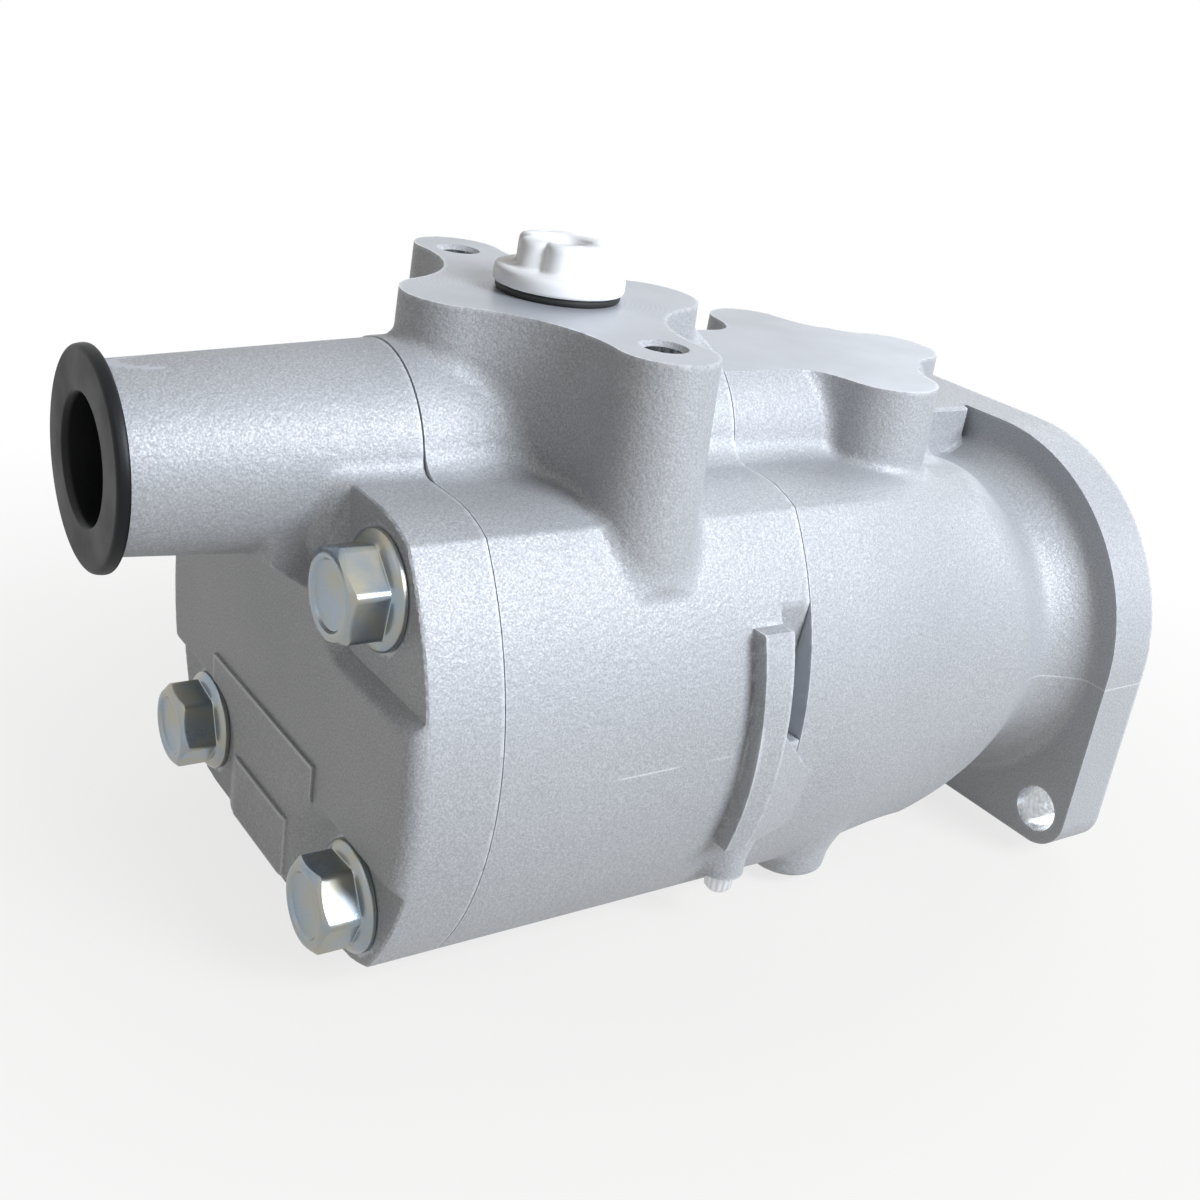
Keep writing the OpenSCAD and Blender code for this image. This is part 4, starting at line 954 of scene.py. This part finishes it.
def pale_floor():
    """Pale matt floor: a rough plain sheet by the object, and more and more plain white farther out."""
    material, tree, place = start_material("pale_floor")
    sheet = add(tree, "ShaderNodeBsdfPrincipled", {"Base Color": "#C2BCB4", "Roughness": 0.9}).outputs[0]
    middle = (-0.09, 0.02, FLOOR_Z)
    away = add(tree, "ShaderNodeVectorMath", {0: place, 1: middle}, operation="DISTANCE").outputs["Value"]
    outer = add(tree, "ShaderNodeMapRange", {0: away, 1: 0.08, 2: 0.28, 3: 0.76, 4: 1.0}).outputs[0]
    share = add(tree, "ShaderNodeMath", {0: seen_plain(tree), 1: outer}, operation="MULTIPLY").outputs[0]
    white = add(tree, "ShaderNodeEmission", {"Color": "#FFFFFF", "Strength": 1.0}).outputs[0]
    both = add(tree, "ShaderNodeMixShader", {0: share, 1: sheet, 2: white}).outputs[0]
    add(tree, "ShaderNodeOutputMaterial", {0: both})
    return material


def add_lamp(name, place, energy, size, colour):
    """A round soft lamp at a place, turned towards the object."""
    lamp = bpy.data.lights.new(name, "AREA")
    lamp.energy = energy
    lamp.color = linear(colour)[:3]
    lamp.shape = "DISK"
    lamp.size = size
    made = bpy.data.objects.new(name, lamp)
    bpy.context.scene.collection.objects.link(made)
    way = Vector(LIT) - Vector(place)
    made.matrix_world = Matrix.Translation(place) @ way.to_track_quat("-Z", "Y").to_matrix().to_4x4()


floor_corners = [(x * FLOOR_SPAN, y * FLOOR_SPAN, FLOOR_Z) for x, y in ((-1, -1), (1, -1), (1, 1), (-1, 1))]
floor = new_object("floor", np.array(floor_corners) * 1000, np.array([[0, 1, 2, 3]]))
floor.data.materials.append(pale_floor())

world = bpy.data.worlds.new("studio")
bpy.context.scene.world = world
world.use_nodes = True
world_tree = world.node_tree
world_tree.nodes.clear()
soft = add(world_tree, "ShaderNodeBackground", {"Color": "#FFF8F0", "Strength": 0.1}).outputs[0]
white = add(world_tree, "ShaderNodeBackground", {"Color": "#FFFFFF", "Strength": 1.0}).outputs[0]
both = add(world_tree, "ShaderNodeMixShader", {0: seen_plain(world_tree), 1: soft, 2: white}).outputs[0]
add(world_tree, "ShaderNodeOutputWorld", {0: both})

add_lamp("key", (0.26, -0.9, 0.66), 18.3, 0.6, "#EEF5FF")
add_lamp("back", (0.8, 0.35, 0.62), 4.0, 0.8, "#F6FAFF")
add_lamp("left", (-1.0, -0.1, 0.85), 0.6, 0.8, "#FFF4E8")

camera_data = bpy.data.cameras.new("camera")
camera_data.sensor_width = 36.0
camera_data.lens = 45.609
camera_data.clip_start = 0.01
camera = bpy.data.objects.new("camera", camera_data)
bpy.context.scene.collection.objects.link(camera)
# Turns about x, y and z, and the place, solved from the round features and the seams in the photo
camera_turn = Euler([math.radians(turn) for turn in (66.98344, -8.11464, -33.60987)])
camera.matrix_world = Matrix.LocRotScale(Vector((-0.292328, -0.226424, 0.132086)), camera_turn, None)
bpy.context.scene.camera = camera
bpy.context.scene.view_settings.view_transform = "Standard"
